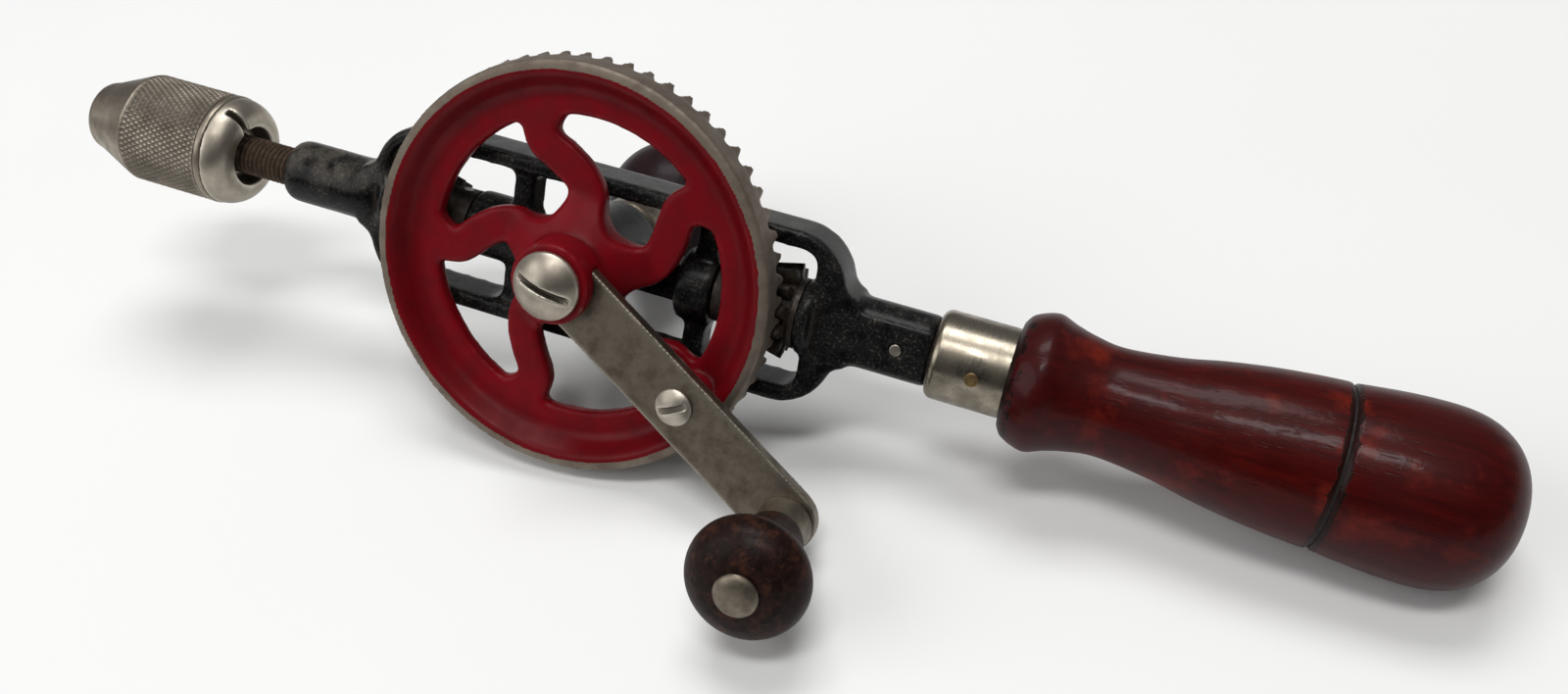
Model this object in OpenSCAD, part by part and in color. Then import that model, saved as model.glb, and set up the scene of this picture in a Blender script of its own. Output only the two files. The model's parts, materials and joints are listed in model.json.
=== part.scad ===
// Eggbeater hand drill: bevel gear wheel with crank, twin pinions in an open cast
// frame, three jaw chuck, hollow turned handle and a side handle on the axle line.
// Every module is written on the drill's own axes: X along the spindle toward the
// handle, Y along the axle away from the crank, Z square to both. as_laid() then
// lays the drill on the bench on its cap, its wheel rim and its side handle.

/* [Frame casting] */
// Thickness of the casting along the axle
frame_t = 12; // [10:0.5:13]
// Half height of the loop, to the outer face of a rail
rail_out = 20.4; // [18.5:0.1:24]
// Thickness of a rail
rail_t = 3.9; // [2.5:0.1:5]
// Distance from the axle to the front end of the straight rails
front_half = 44; // [43:0.5:48]
// Distance from the axle to the back end of the straight rails
rear_half = 48; // [47:0.5:54]
// Height of the four shoulders
shoulder_r = 13; // [10:0.5:14]
// Wall of the loop ahead of the front window
front_wall = 3.6; // [3:0.1:6]
// Wall of the loop behind the back window
rear_wall = 7.6; // [6:0.1:9]
// Radius of the fillets between shoulder and neck
neck_fillet_r = 4; // [2:0.5:6]
// Distance from the axle to the end of the end windows
window_x = 53.4; // [52.9:0.1:56]
// Corner radius of the loop's front end, inside
front_corner_r = 8; // [7:0.5:10]
// Corner radius of the loop's back end, inside
rear_corner_r = 3.5; // [2:0.5:5]
// Outer radius of the front bearing sleeve
sleeve_r = 7.6; // [6.5:0.1:8]
// Distance from the axle to the front of the sleeve
sleeve_x = 81; // [74:0.5:84]
// Radius of the rounded front edge of the sleeve
sleeve_edge = 2.2; // [0.5:0.1:2.4]
// Radius of the shank behind the loop
shank_r = 8.2; // [7:0.1:9]
// Distance from the axle to the back of the shank
shank_x = 82.2; // [79:0.1:86]
// Centre of the front strut, ahead of the axle
front_strut_x = 18.8; // [17:0.1:20]
// Centre of the rear strut, behind the axle
rear_strut_x = 27.4; // [25:0.1:28]
// Width of a strut
strut_w = 5; // [3:0.5:7]
// Thickness of a strut along the axle
strut_t = 8.4; // [6:0.2:10]
// Radius of the fillets where a strut meets its rail
strut_fillet_r = 2.6; // [1:0.2:4]
// Radius of the front strut's bearing boss
front_boss_r = 7.8; // [6:0.1:8.5]
// Radius of the rear strut's bearing boss
rear_boss_r = 8.6; // [7:0.1:9.5]
// Radius of the end bearing bosses inside the loop
end_boss_r = 8.8; // [8.5:0.1:9.5]
// Radius of the pinions' thrust washers
thrust_r = 8.2; // [7:0.1:8.4]
// Height of the bar that joins the bosses
bar_h = 9; // [6:0.5:11]
// Thickness of the bar along the axle
bar_t = 8; // [6:0.5:10]
// Radius of the axle hub
hub_r = 10.4; // [8.5:0.1:11.5]
// Reach of the axle hub behind the spindle line
hub_back = 14; // [12:0.5:18]
// Chamfer at the back of the axle hub
hub_chamfer = 1.6; // [0.5:0.1:3]

/* [Gears] */
// Teeth of the wheel
wheel_teeth = 60; // [58:2:62]
// Teeth of each pinion
pinion_teeth = 12; // [11:1:14]
// Module at the large end of the teeth
tooth_module = 1.6; // [1.55:0.01:1.65]
// Pressure angle
pressure_angle = 25; // [22:0.5:27]
// Tooth height above the pitch cone
addendum = 1.4; // [1:0.05:1.5]
// Tooth depth below the pitch cone
dedendum = 1.75; // [1.6:0.05:2]
// Play between a wheel tooth and its space, measured on the pitch circle
backlash = 0.3; // [0.2:0.02:0.5]
// Face width of the wheel's teeth along the pitch cone
face_w = 10.3; // [7:0.1:11]
// Length by which a pinion's teeth outrun the wheel's, at each end
pinion_overrun = 1; // [0.3:0.1:1.8]
// Radius of a pinion's plain hub
pinion_hub_r = 7.1; // [6.5:0.1:7.4]
// Distance from the axle to the inner end of a pinion's hub
pinion_hub_x = 31.3; // [30.5:0.1:33]
// Distance from the end of the front pinion's hub to its pin
pinion_pin_in = 3; // [2.5:0.1:4]

/* [Wheel] */
// Front face of the wheel's web, ahead of the spindle line
web_front = 12.6; // [11.6:0.1:14]
// Back face of the wheel's web, ahead of the spindle line
web_back = 8.6; // [8.4:0.1:9.5]
// Crest of the rim, ahead of the spindle line
rim_front = 17.4; // [15:0.1:17.6]
// Radius of the rim's crest
rim_crest_r = 44.9; // [43:0.1:45.5]
// Radius of the rim's front edge
rim_edge_r = 47.5; // [46:0.1:47.7]
// Radius of the foot of the rim's sloping inner wall
rim_foot_r = 40.6; // [38.5:0.1:42]
// Radius of the outer edge of the wheel's windows
window_r = 36.9; // [34:0.1:37.5]
// Radius of the inner edge of the wheel's windows
window_in_r = 13; // [12:0.1:15]
// Number of spokes
spokes = 5; // [4:1:6]
// Width of a spoke
spoke_w = 8.6; // [6:0.1:9.5]
// Angle through which a spoke sweeps from rim to hub
spoke_sweep = 28; // [0:1:32]
// Angle from the crank to the rim end of the spoke under it
spoke_lag = -1.5; // [-4:0.5:4]
// Radius of the raised spoke roots round the hub boss
root_rise_r = 18; // [15:0.1:20]
// Rise of the spoke roots above the web
root_rise = 5; // [3:0.1:5.5]
// Radius of the wheel's hub boss
boss_r = 9.3; // [8.9:0.1:11]
// Front of the hub boss, ahead of the spindle line
boss_front = 25.7; // [22:0.1:28]

/* [Axle screw] */
// Radius of the axle
axle_r = 4.5; // [3.5:0.1:5]
// Radius of the axle's threaded end
axle_thread_r = 3.9; // [3:0.1:4.4]
// Depth of the threaded end in the axle hub
axle_thread_l = 9; // [6:0.5:10]
// Radius of the axle screw's head
axle_head_r = 7.8; // [6:0.1:9]
// Height of the axle screw's domed head
axle_head_h = 4.6; // [3:0.1:6]
// Width of the screwdriver slots
slot_w = 1.5; // [0.8:0.1:2]

/* [Crank] */
// Direction of the crank, from the handle's side, turning upward
crank_angle = -32; // [-60:1:60]
// Distance from the axle to the crank knob's axis
crank_throw = 73.2; // [68:0.1:90]
// Width of the crank arm
arm_w = 15.6; // [12:0.1:16.4]
// Thickness of the crank arm
arm_t = 3; // [2:0.1:3.5]
// Gap between the crank arm and the rim's crest
rim_gap = 3.1; // [2.5:0.1:3.5]
// Slope of the crank arm away from the wheel
arm_tilt = 2.6; // [2:0.1:4]
// Distance from the axle to the small screw in the arm
arm_screw_x = 39; // [37:0.1:41]
// Radius of the small screw's head
arm_screw_head_r = 4.35; // [3:0.05:5]
// Height of the small screw's head
arm_screw_head_h = 2.2; // [1:0.1:3]
// Radius of the small screw's stem
arm_screw_r = 2; // [1.5:0.1:2.5]
// Length of the small screw's stem below the arm
arm_screw_l = 4; // [3:0.5:6]
// Radius of the wheel's seat under the small screw
arm_seat_r = 5.2; // [4:0.1:6]
// Radius of the knob's collar at the arm
collar_r = 6.4; // [5:0.1:7.5]
// Radius of the knob's collar at the knob
collar_small_r = 5.4; // [4:0.1:6]
// Length of the knob's collar
collar_l = 6.5; // [3:0.5:9]
// Length of the crank knob
knob_l = 25.5; // [20:0.5:32]
// Largest radius of the crank knob
knob_r = 13.5; // [11:0.1:16]
// Radius of the knob's neck
knob_neck_r = 6.8; // [5.5:0.1:9]
// Radius of the rivet the knob turns on
rivet_r = 2.6; // [2:0.1:3.5]
// Radius of the rivet's head
rivet_head_r = 4.85; // [4:0.05:6]
// Height of the rivet's head
rivet_head_h = 1.9; // [1:0.1:3]

/* [Spindle and chuck] */
// Radius of the spindle
spindle_r = 4.76; // [4:0.02:5]
// Radius of the spindle's rear journal
journal_r = 3.8; // [3:0.1:4]
// Distance from the axle to the front end of the spindle
spindle_x = 110; // [108:0.5:112]
// Radius of the pin through the front pinion
pinion_pin_r = 1.2; // [0.8:0.1:1.5]
// Outer radius of the chuck
chuck_r = 13.5; // [13:0.1:14.5]
// Distance from the axle to the chuck's nose
nose_x = 136.7; // [135.5:0.1:139]
// Radius of the nose at its end
nose_r = 8.7; // [7.8:0.1:9.5]
// Rounding at the end of the nose
nose_edge = 2.6; // [1:0.1:2.9]
// Distance from the axle to the front of the chuck's grip
grip_front_x = 122.4; // [120:0.1:124]
// Distance from the axle to the back of the chuck's grip
grip_back_x = 101.2; // [100:0.1:103]
// Length of the plain bead behind the grip
bead_l = 1.7; // [1:0.1:2.5]
// Distance from the axle to the back of the chuck
chuck_back_x = 93.4; // [92:0.1:94.5]
// Radius of the chuck's back at its opening
chuck_back_r = 8.8; // [8.2:0.1:10]
// Radius of the recess round the thread in the chuck's back
recess_r = 7.4; // [6:0.1:7.6]
// Depth of the recess in the chuck's back
recess_l = 4.6; // [2:0.1:5]
// Radius of the mouth of the chuck
mouth_r = 5.6; // [5:0.1:6]
// Length of the mouth's straight wall
mouth_l = 2.6; // [1:0.1:4]
// Half angle of the cone that closes the jaws
jaw_cone = 18; // [16:0.5:19]
// Radius of the chuck's hollow behind the cone
hollow_r = 10.9; // [10:0.1:11.5]
// Width of a jaw
jaw_w = 5.2; // [4:0.1:6]
// Distance from the axis to a jaw's tip as the chuck is laid down, open
jaw_open = 2.9; // [2.6:0.05:3.1]
// Turn of the jaws about the spindle line
jaw_turn = 26; // [0:1:120]
// Gap between the jaws and the spindle's end
jaw_gap = 0.3; // [0.2:0.05:0.6]
// Width of the notch in the chuck's back
notch_w = 1.6; // [1:0.1:2.5]
// Length of the notch along the chuck's back
notch_l = 4; // [2:0.1:4.4]
// Turn of the notch about the spindle line
notch_turn = 27; // [-180:1:180]

/* [Handle] */
// Radius of the steel rod that carries the idler pinion and the handle
rod_r = 4.2; // [3:0.1:4.6]
// Distance from the axle to the rod's end in the handle
rod_x = 128; // [110:1:130]
// Distance from the axle to the pin through the shank
shank_pin_x = 74.4; // [70:0.1:77]
// Radius of the pin through the shank
shank_pin_r = 1.4; // [1:0.1:2]
// Radius of the ferrule
ferrule_r = 10.2; // [9:0.1:11]
// Wall of the ferrule
ferrule_wall = 0.9; // [0.6:0.1:1.2]
// Length of the ferrule
ferrule_l = 17.5; // [14:0.5:22]
// Distance from the axle to the pin through the ferrule
ferrule_pin_x = 92.4; // [88:0.1:95]
// Radius of the pin through the ferrule
ferrule_pin_r = 1.65; // [1:0.05:2]
// Length of the turned grip behind the ferrule
grip_l = 67.4; // [62:0.2:80]
// Radius of the bead at the front of the grip
grip_bead_r = 15.6; // [14:0.1:17]
// Radius of the grip's waist
grip_waist_r = 12.2; // [11.6:0.1:14]
// Radius of the grip at the cap
grip_end_r = 18; // [16.5:0.1:19]
// Thickness of the black washer between grip and cap
cap_washer_t = 0.9; // [0.5:0.1:1.5]
// Length of the cap
cap_l = 37.6; // [34:0.2:46]
// Largest radius of the cap
cap_r = 19.4; // [18.5:0.1:22]
// Length of the cap's dome
cap_dome_l = 19.5; // [14:0.5:22]
// Radius of the cap's screwed spigot
spigot_r = 11; // [9.5:0.1:12]
// Length of the cap's screwed spigot
spigot_l = 12; // [8:0.5:16]
// Radius of the hollow for drill points
store_r = 8.4; // [6:0.1:9]
// Depth of the hollow ahead of the spigot
store_depth = 22; // [10:0.5:24]

/* [Side handle] */
// Radius of the side handle's stud
stud_r = 3.5; // [2.5:0.1:4]
// Length of the stud screwed into the axle hub
stud_l = 10; // [6:0.5:11]
// Length of the stud inside the side handle's ball
stud_top_l = 8; // [6:0.5:12]
// Radius of the side handle's ferrule
side_ferrule_r = 9.2; // [8:0.1:11]
// Length of the side handle's ferrule
side_ferrule_l = 15.6; // [10:0.2:20]
// Radius of the side handle's ball
ball_r = 17.6; // [15:0.1:20]
// Distance from the spindle line to the ball's centre
ball_y = 49.4; // [47:0.1:54]

/* [Fits] */
// Radial clearance of running fits
run_gap = 0.05; // [0.02:0.01:0.08]
// Radial clearance of fixed fits
fixed_gap = 0.02; // [0.01:0.01:0.05]
// End play of pieces that turn
end_gap = 0.3; // [0.2:0.05:0.5]
// Gap between pieces that pass each other
pass_gap = 0.25; // [0.15:0.05:0.4]
// Thickness of the pinions' thrust washers
washer_t = 1.2; // [0.8:0.1:1.5]

/* [Hidden] */
$fn = 72;
hair = 0.01;
steps = 4;

// Bevel gear geometry: the pitch cones share an apex where axle and spindle cross
wheel_pitch_r = tooth_module * wheel_teeth / 2;
pinion_pitch_r = tooth_module * pinion_teeth / 2;
cone_l = norm([wheel_pitch_r, pinion_pitch_r]);
cone_sin = pinion_pitch_r / cone_l;
cone_cos = wheel_pitch_r / cone_l;
wheel_in_k = 1 - face_w / cone_l;
pinion_out_k = 1 + pinion_overrun / cone_l;
pinion_in_k = wheel_in_k - pinion_overrun / cone_l;
tooth_arc = PI * tooth_module / 2 - backlash / 2;
wheel_pitch_angle = 360 / wheel_teeth;
pinion_pitch_angle = 360 / pinion_teeth;
virtual_r = pinion_pitch_r / cone_cos;
base_r = virtual_r * cos(pressure_angle);
tip_r = wheel_pitch_r + addendum * cone_sin;
tip_y = pinion_pitch_r - addendum * cone_cos;
land_l = 0.35;
root_step = 0.4;
root_sink = 0.8;
crest_flat = 0.7;

// Stations along the spindle line, measured from the axle
rail_in = rail_out - rail_t;
tooth_end_x = pinion_out_k * (wheel_pitch_r + dedendum * cone_sin);
pinion_end_x = tooth_end_x + land_l;
washer_x = pinion_end_x + end_gap;
boss_face_x = washer_x + washer_t;
strut_face_x = pinion_hub_x - end_gap;
pinion_pin_x = pinion_hub_x + pinion_pin_in;
ferrule_x = shank_x;
grip_x = ferrule_x + ferrule_l;
washer_front_x = grip_x + grip_l;
cap_x = washer_front_x + cap_washer_t;
cap_end_x = cap_x + cap_l;
dome_x = cap_end_x - cap_dome_l;
hub_front = web_back - end_gap;
side_y = hub_back + pass_gap;
tenon_r = ferrule_r - ferrule_wall - fixed_gap;
bead_back_x = grip_back_x - bead_l;
cone_slope = tan(jaw_cone);
mouth_x = nose_x - mouth_l;
cone_back_x = mouth_x - (hollow_r - mouth_r) / cone_slope;
head_y = boss_front + end_gap;
arm_front = rim_front + rim_gap + arm_t / cos(arm_tilt) - rim_crest_r * tan(arm_tilt);
collar_y = arm_front + crank_throw * tan(arm_tilt) + collar_r * tan(arm_tilt);
knob_y = collar_y + collar_l + end_gap;
rivet_head_y = knob_y + knob_l + end_gap;

// Points of a smooth curve through p, with n steps from point to point
function blend(a, b, c, d, t) =
    b + (c - a) * t / 2 + (2 * a - 5 * b + 4 * c - d) * t * t / 2
    + (3 * b - a - 3 * c + d) * t * t * t / 2;
function smooth_open(p, n) = [
    for (i = [0 : len(p) - 2], k = [0 : n - (i == len(p) - 2 ? 0 : 1)])
        blend(p[max(i - 1, 0)], p[i], p[i + 1], p[min(i + 2, len(p) - 1)], k / n)
];
function smooth_closed(p, n) = [
    for (i = [0 : len(p) - 1], k = [0 : n - 1])
        blend(p[(i + len(p) - 1) % len(p)], p[i], p[(i + 1) % len(p)], p[(i + 2) % len(p)], k / n)
];
function polar(r, a) = [r * cos(a), r * sin(a)];
function ease(t) = t <= 0 ? 0 : t >= 1 ? 1 : t * t * (3 - 2 * t);

// Cap outline from the washer to the tip, as [x, radius]
dome_power = 2.5;
dome_steps = 16;
cap_outline = concat(
    [for (k = [0 : 8]) [
        cap_x + (dome_x - cap_x) * k / 8,
        grip_end_r + (cap_r - grip_end_r) * sin(90 * k / 8)
    ]],
    [for (k = [1 : dome_steps]) let (a = 90 * k / dome_steps) [
        dome_x + cap_dome_l * pow(sin(a), 2 / dome_power),
        cap_r * pow(max(cos(a), 0), 2 / dome_power)
    ]]
);

// How the drill lies: up is the bench's normal on the drill's axes
rest_reach = norm([tip_r, ball_y + tip_y]);
lean_sin = sin(acos(ball_r / rest_reach) - atan((ball_y + tip_y) / tip_r));
axle_height = ball_y * lean_sin + ball_r;
function cap_reach(p) = max([for (q = cap_outline) q[0] * sin(p) + q[1] * cos(p)]);
function cap_touch(p) = [for (q = cap_outline) if (q[0] * sin(p) + q[1] * cos(p) == cap_reach(p)) q][0];
function next_pitch(q) = asin(axle_height / norm(q)) - atan(q[1] / q[0]);
pitch_1 = next_pitch(cap_touch(6));
pitch = next_pitch(cap_touch(pitch_1));
lean = asin(lean_sin / cos(pitch));

module as_laid() {
    translate([0, 0, axle_height]) rotate([0, pitch, 0]) rotate([-lean, 0, 0]) children();
}

// A solid turned about the spindle line from [x, radius] points
module turned(outline) {
    rotate([0, 90, 0]) rotate_extrude() polygon([for (p = outline) [p[1], p[0]]]);
}

// A round bar along the spindle line from x0 to x1
module bar_x(x0, x1, r) {
    translate([x0, 0, 0]) rotate([0, 90, 0]) cylinder(r = r, h = x1 - x0);
}

// A round bar along the axle from y0 to y1
module bar_y(y0, y1, r) {
    translate([0, y0, 0]) rotate([-90, 0, 0]) cylinder(r = r, h = y1 - y0);
}

// The wheel's own axes: its Z runs along the axle toward the crank
module on_axle() {
    rotate([90, 0, 0]) children();
}

// The crank's own axes: its X runs out along the arm
module on_crank() {
    on_axle() rotate([0, 0, crank_angle]) children();
}

// Frame casting

module round_rect(half_x, half_z, r) {
    square([2 * half_x, 2 * (half_z - r)], center = true);
    square([2 * (half_x - r), 2 * half_z], center = true);
    for (sx = [-1, 1], sz = [-1, 1])
        translate([sx * (half_x - r), sz * (half_z - r)]) circle(r);
}

// Web between the shoulders and a neck of half height h, hollowed by its fillets
module neck_web(half, h) {
    f = neck_fillet_r;
    corner_z = rail_out - shoulder_r;
    reach = shoulder_r + f;
    rise = h + f - corner_z;
    run = sqrt(reach * reach - rise * rise);
    touch = [half + shoulder_r * run / reach, corner_z + shoulder_r * rise / reach];
    for (sz = [0, 1]) mirror([0, sz])
        difference() {
            polygon([[half, 0], [half, touch[1]], touch, [half + run, h], [half + run, 0]]);
            translate([half + run, h + f]) circle(f);
        }
}

// One end of the loop, from the axle to +X, with an end wall and a neck of half height h
module loop_end(half, wall, corner_r, h) {
    shoulder_l = window_x + wall - half;
    difference() {
        union() {
            translate([-hair, -rail_out]) square([half + hair, 2 * rail_out]);
            translate([half - hair, shoulder_r - rail_out])
                square([shoulder_l + hair, 2 * (rail_out - shoulder_r)]);
            for (sz = [-1, 1])
                translate([half, sz * (rail_out - shoulder_r)])
                    scale([shoulder_l / shoulder_r, 1]) circle(shoulder_r);
            neck_web(half, h);
        }
        round_rect(window_x, rail_in, corner_r);
    }
}

module loop_outline() {
    loop_end(rear_half, rear_wall, rear_corner_r, shank_r);
    mirror([1, 0]) loop_end(front_half, front_wall, front_corner_r, sleeve_r);
}

module strut_outline() {
    f = strut_fillet_r;
    square([strut_w, 2 * rail_in + rail_t], center = true);
    for (sx = [0, 1], sz = [0, 1]) mirror([sx, 0]) mirror([0, sz])
        difference() {
            translate([0, rail_in - f]) square([strut_w / 2 + f, f + rail_t / 2]);
            translate([strut_w / 2 + f, rail_in - f]) circle(f);
        }
}

module sheet_y(thickness) {
    rotate([90, 0, 0]) translate([0, 0, -thickness / 2]) linear_extrude(thickness) children();
}

module frame_casting() {
    e = sleeve_edge;
    sleeve_in = -(window_x + front_wall - hair);
    color("#15171a") as_laid() difference() {
        union() {
            sheet_y(frame_t) loop_outline();
            turned(concat(
                [[sleeve_in, 0], [-sleeve_x, 0]],
                [for (a = [0 : 15 : 90]) [-sleeve_x + e - e * cos(a), sleeve_r - e + e * sin(a)]],
                [[sleeve_in, sleeve_r]]
            ));
            intersection() {
                bar_x(window_x, shank_x, shank_r);
                translate([window_x, -frame_t / 2, -shank_r]) cube([shank_x, frame_t, 2 * shank_r]);
            }
            for (m = [0, 1]) mirror([m, 0, 0]) bar_x(boss_face_x, window_x + 1, end_boss_r);
            translate([-front_strut_x, 0, 0]) sheet_y(strut_t) strut_outline();
            translate([rear_strut_x, 0, 0]) sheet_y(strut_t) strut_outline();
            bar_x(-strut_face_x, -front_strut_x + strut_w / 2, front_boss_r);
            bar_x(rear_strut_x - strut_w, strut_face_x, rear_boss_r);
            translate([-front_strut_x, -bar_t / 2, -bar_h / 2])
                cube([front_strut_x + rear_strut_x, bar_t, bar_h]);
            bar_y(-hub_front, hub_back - hub_chamfer, hub_r);
            translate([0, hub_back - hub_chamfer, 0]) rotate([-90, 0, 0])
                cylinder(r1 = hub_r, r2 = hub_r - hub_chamfer, h = hub_chamfer);
        }
        bar_x(-sleeve_x - 1, -boss_face_x + 1, spindle_r + run_gap);
        bar_x(-strut_face_x - 1, -front_strut_x + strut_w / 2 - 1, journal_r + run_gap);
        bar_x(rear_strut_x - strut_w / 2, shank_x + 1, rod_r + fixed_gap);
        bar_y(-hub_front - 1, -hub_front + axle_thread_l + 0.5, axle_thread_r + fixed_gap);
        bar_y(hub_back - stud_l - 0.5, hub_back + 1, stud_r + run_gap);
        translate([shank_pin_x, 0, 0]) bar_y(-shank_r, shank_r, shank_pin_r + fixed_gap);
    }
}

module thrust_washers() {
    color("#8d8578") as_laid() {
        difference() {
            bar_x(-washer_x - washer_t, -washer_x, thrust_r);
            bar_x(-washer_x - washer_t - 1, -washer_x + 1, spindle_r + run_gap);
        }
        difference() {
            bar_x(washer_x, washer_x + washer_t, thrust_r);
            bar_x(washer_x - 1, washer_x + washer_t + 1, rod_r + run_gap);
        }
    }
}

// A low slotted dome of radius r and height h, standing on the XY plane
module slotted_dome(r, h, turn) {
    wall = h / 4;
    crown = h - wall;
    sphere_r = (r * r + crown * crown) / (2 * crown);
    difference() {
        union() {
            cylinder(r = r, h = wall + hair);
            intersection() {
                translate([0, 0, h - sphere_r]) sphere(sphere_r);
                translate([0, 0, wall]) cylinder(r = r, h = h);
            }
        }
        rotate([0, 0, turn]) translate([-r - 1, -slot_w / 2, h / 2]) cube([2 * r + 2, slot_w, h]);
    }
}

module axle_screw() {
    slot_turn = -38;
    color("#b9b2a4") as_laid() on_axle() {
        translate([0, 0, head_y]) slotted_dome(axle_head_r, axle_head_h, slot_turn);
        translate([0, 0, hub_front]) cylinder(r = axle_r, h = head_y - hub_front + hair);
        translate([0, 0, hub_front - axle_thread_l])
            cylinder(r = axle_thread_r, h = axle_thread_l + hair);
    }
}

module tang_rod() {
    color("#8a8279") as_laid() difference() {
        bar_x(rear_strut_x - strut_w / 2 + end_gap, rod_x, rod_r);
        translate([shank_pin_x, 0, 0]) bar_y(-rod_r - 1, rod_r + 1, shank_pin_r + fixed_gap);
        translate([ferrule_pin_x, 0, 0]) bar_y(-rod_r - 1, rod_r + 1, ferrule_pin_r + fixed_gap);
    }
}

module shank_pin() {
    color("#a39f97") as_laid()
        translate([shank_pin_x, 0, 0]) bar_y(-frame_t / 2, frame_t / 2, shank_pin_r);
}

// Handle

module ferrule() {
    e = ferrule_r - shank_r;
    inner = ferrule_r - ferrule_wall;
    color("#cfc8b8") as_laid() difference() {
        turned(concat(
            [[grip_x, inner], [ferrule_x + ferrule_wall, inner]],
            [[ferrule_x + ferrule_wall, rod_r + fixed_gap], [ferrule_x, rod_r + fixed_gap]],
            [for (a = [0 : 15 : 90]) [ferrule_x + e - e * cos(a), shank_r + e * sin(a)]],
            [[grip_x, ferrule_r]]
        ));
        translate([ferrule_pin_x, 0, 0]) bar_y(-ferrule_r - 1, ferrule_r + 1, ferrule_pin_r + fixed_gap);
    }
}

module ferrule_pin() {
    color("#a98a4f") as_laid()
        translate([ferrule_pin_x, 0, 0]) bar_y(-ferrule_r, ferrule_r, ferrule_pin_r);
}

module handle_grip() {
    grip_end = washer_front_x;
    spigot_end = grip_end - spigot_l - end_gap;
    store_x = spigot_end - store_depth;
    outline = smooth_open([
        [grip_x, grip_bead_r - 3.8],
        [grip_x + 1.8, grip_bead_r - 1.6],
        [grip_x + 6.6, grip_bead_r],
        [grip_x + 11, grip_bead_r - 1.4],
        [grip_x + 15.5, grip_waist_r + 0.8],
        [grip_x + 22, grip_waist_r],
        [grip_end - 34, grip_end_r - 4.6],
        [grip_end - 24, grip_end_r - 2.6],
        [grip_end - 13, grip_end_r - 1],
        [grip_end - 1, grip_end_r],
        [grip_end, grip_end_r - 0.6]
    ], steps);
    tenon_x = ferrule_x + ferrule_wall + fixed_gap;
    color("#6e1f16") as_laid() difference() {
        turned(concat(
            outline,
            [[grip_end, spigot_r + run_gap], [spigot_end, spigot_r + run_gap]],
            [[spigot_end, store_r], [store_x, store_r], [store_x, 0], [rod_x + end_gap, 0]],
            [[rod_x + end_gap, rod_r + fixed_gap], [tenon_x, rod_r + fixed_gap]],
            [[tenon_x, tenon_r], [grip_x, tenon_r]]
        ));
        translate([ferrule_pin_x, 0, 0]) bar_y(-ferrule_r, ferrule_r, ferrule_pin_r + fixed_gap);
    }
}

module cap_washer() {
    color("#17100e") as_laid() difference() {
        bar_x(washer_front_x, cap_x, grip_end_r - 0.7);
        bar_x(washer_front_x - 1, cap_x + 1, spigot_r + run_gap);
    }
}

module handle_cap() {
    store_end = dome_x;
    color("#5f1a14") as_laid() turned(concat(
        [[store_end, 0], [store_end, store_r], [washer_front_x - spigot_l, store_r]],
        [[washer_front_x - spigot_l, spigot_r], [cap_x, spigot_r]],
        cap_outline
    ));
}

// Drive wheel

// A point of the wheel's teeth: k scales toward the apex, h is the height on the pitch cone
function wheel_point(a, h, k) = let (r = k * (wheel_pitch_r + h * cone_sin))
    [r * cos(a), r * sin(a), k * (pinion_pitch_r - h * cone_cos)];
function wheel_half_angle(h) =
    (tooth_arc / 2 - h * tan(pressure_angle)) / wheel_pitch_r * 180 / PI;

// A closed ring of stations, each with four points: large end, small end and both sunk feet
module tooth_ring(stations) {
    n = len(stations);
    faces = [
        for (i = [0 : n - 1], s = [0 : 3])
            let (a = 4 * i + s, b = 4 * i + (s + 1) % 4)
            let (c = (a + 4) % (4 * n), d = (b + 4) % (4 * n))
            each [[a, d, b], [a, c, d]]
    ];
    polyhedron([for (q = stations) each q], faces);
}

module wheel_teeth_ring() {
    sunk = -dedendum - root_sink;
    profile = [
        for (i = [0 : wheel_teeth - 1]) let (a = i * wheel_pitch_angle) each [
            [a - wheel_half_angle(-dedendum), -dedendum],
            [a - wheel_half_angle(addendum), addendum],
            [a + wheel_half_angle(addendum), addendum],
            [a + wheel_half_angle(-dedendum), -dedendum]
        ]
    ];
    tooth_ring([
        for (p = profile) [
            wheel_point(p[0], p[1], 1),
            wheel_point(p[0], p[1], wheel_in_k),
            wheel_point(p[0], sunk, wheel_in_k),
            wheel_point(p[0], sunk, 1)
        ]
    ]);
}

// Centreline of a spoke, as an angle from its rim end, and its half width as an angle
sweep_out_r = window_r - 0.54 * spoke_w;
sweep_in_r = window_in_r + 1;
function sweep_t(r) = (sweep_out_r - r) / (sweep_out_r - sweep_in_r);
function spoke_mid(r) = -spoke_sweep * ease(sweep_t(r));
function spoke_slope(r) = let (t = min(max(sweep_t(r), 0), 1))
    r * spoke_sweep * PI / 180 * 6 * t * (1 - t) / (sweep_out_r - sweep_in_r);
function spoke_half(r) = spoke_w / 2 / r * norm([1, spoke_slope(r)]) * 180 / PI;

module wheel_window() {
    pitch_a = 360 / spokes;
    span = window_r - window_in_r;
    low = [for (k = [0.88, 0.74, 0.6, 0.46, 0.32, 0.18]) window_in_r + k * span];
    high = [for (k = [0.1, 0.22, 0.36, 0.5, 0.64, 0.78]) window_in_r + k * span];
    near_side = [for (r = low) polar(r, spoke_mid(r) + spoke_half(r))];
    far_side = [for (r = high) polar(r, pitch_a + spoke_mid(r) - spoke_half(r))];
    foot_a = (spoke_mid(low[5]) + spoke_half(low[5]) + pitch_a + spoke_mid(high[0]) - spoke_half(high[0])) / 2;
    round_far = 9;
    round_near = 3;
    arc_start = pitch_a - spoke_half(window_r) - round_far;
    arc_end = spoke_half(window_r) + round_near;
    outer = [for (k = [0 : 6]) polar(window_r, arc_start + (arc_end - arc_start) * k / 6)];
    polygon(smooth_closed(concat(near_side, [polar(window_in_r, foot_a)], far_side, outer), steps));
}

module crank_plane_cut() {
    rotate([0, -arm_tilt, 0]) translate([0, 0, arm_front * cos(arm_tilt) - arm_t]) children();
}

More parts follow.
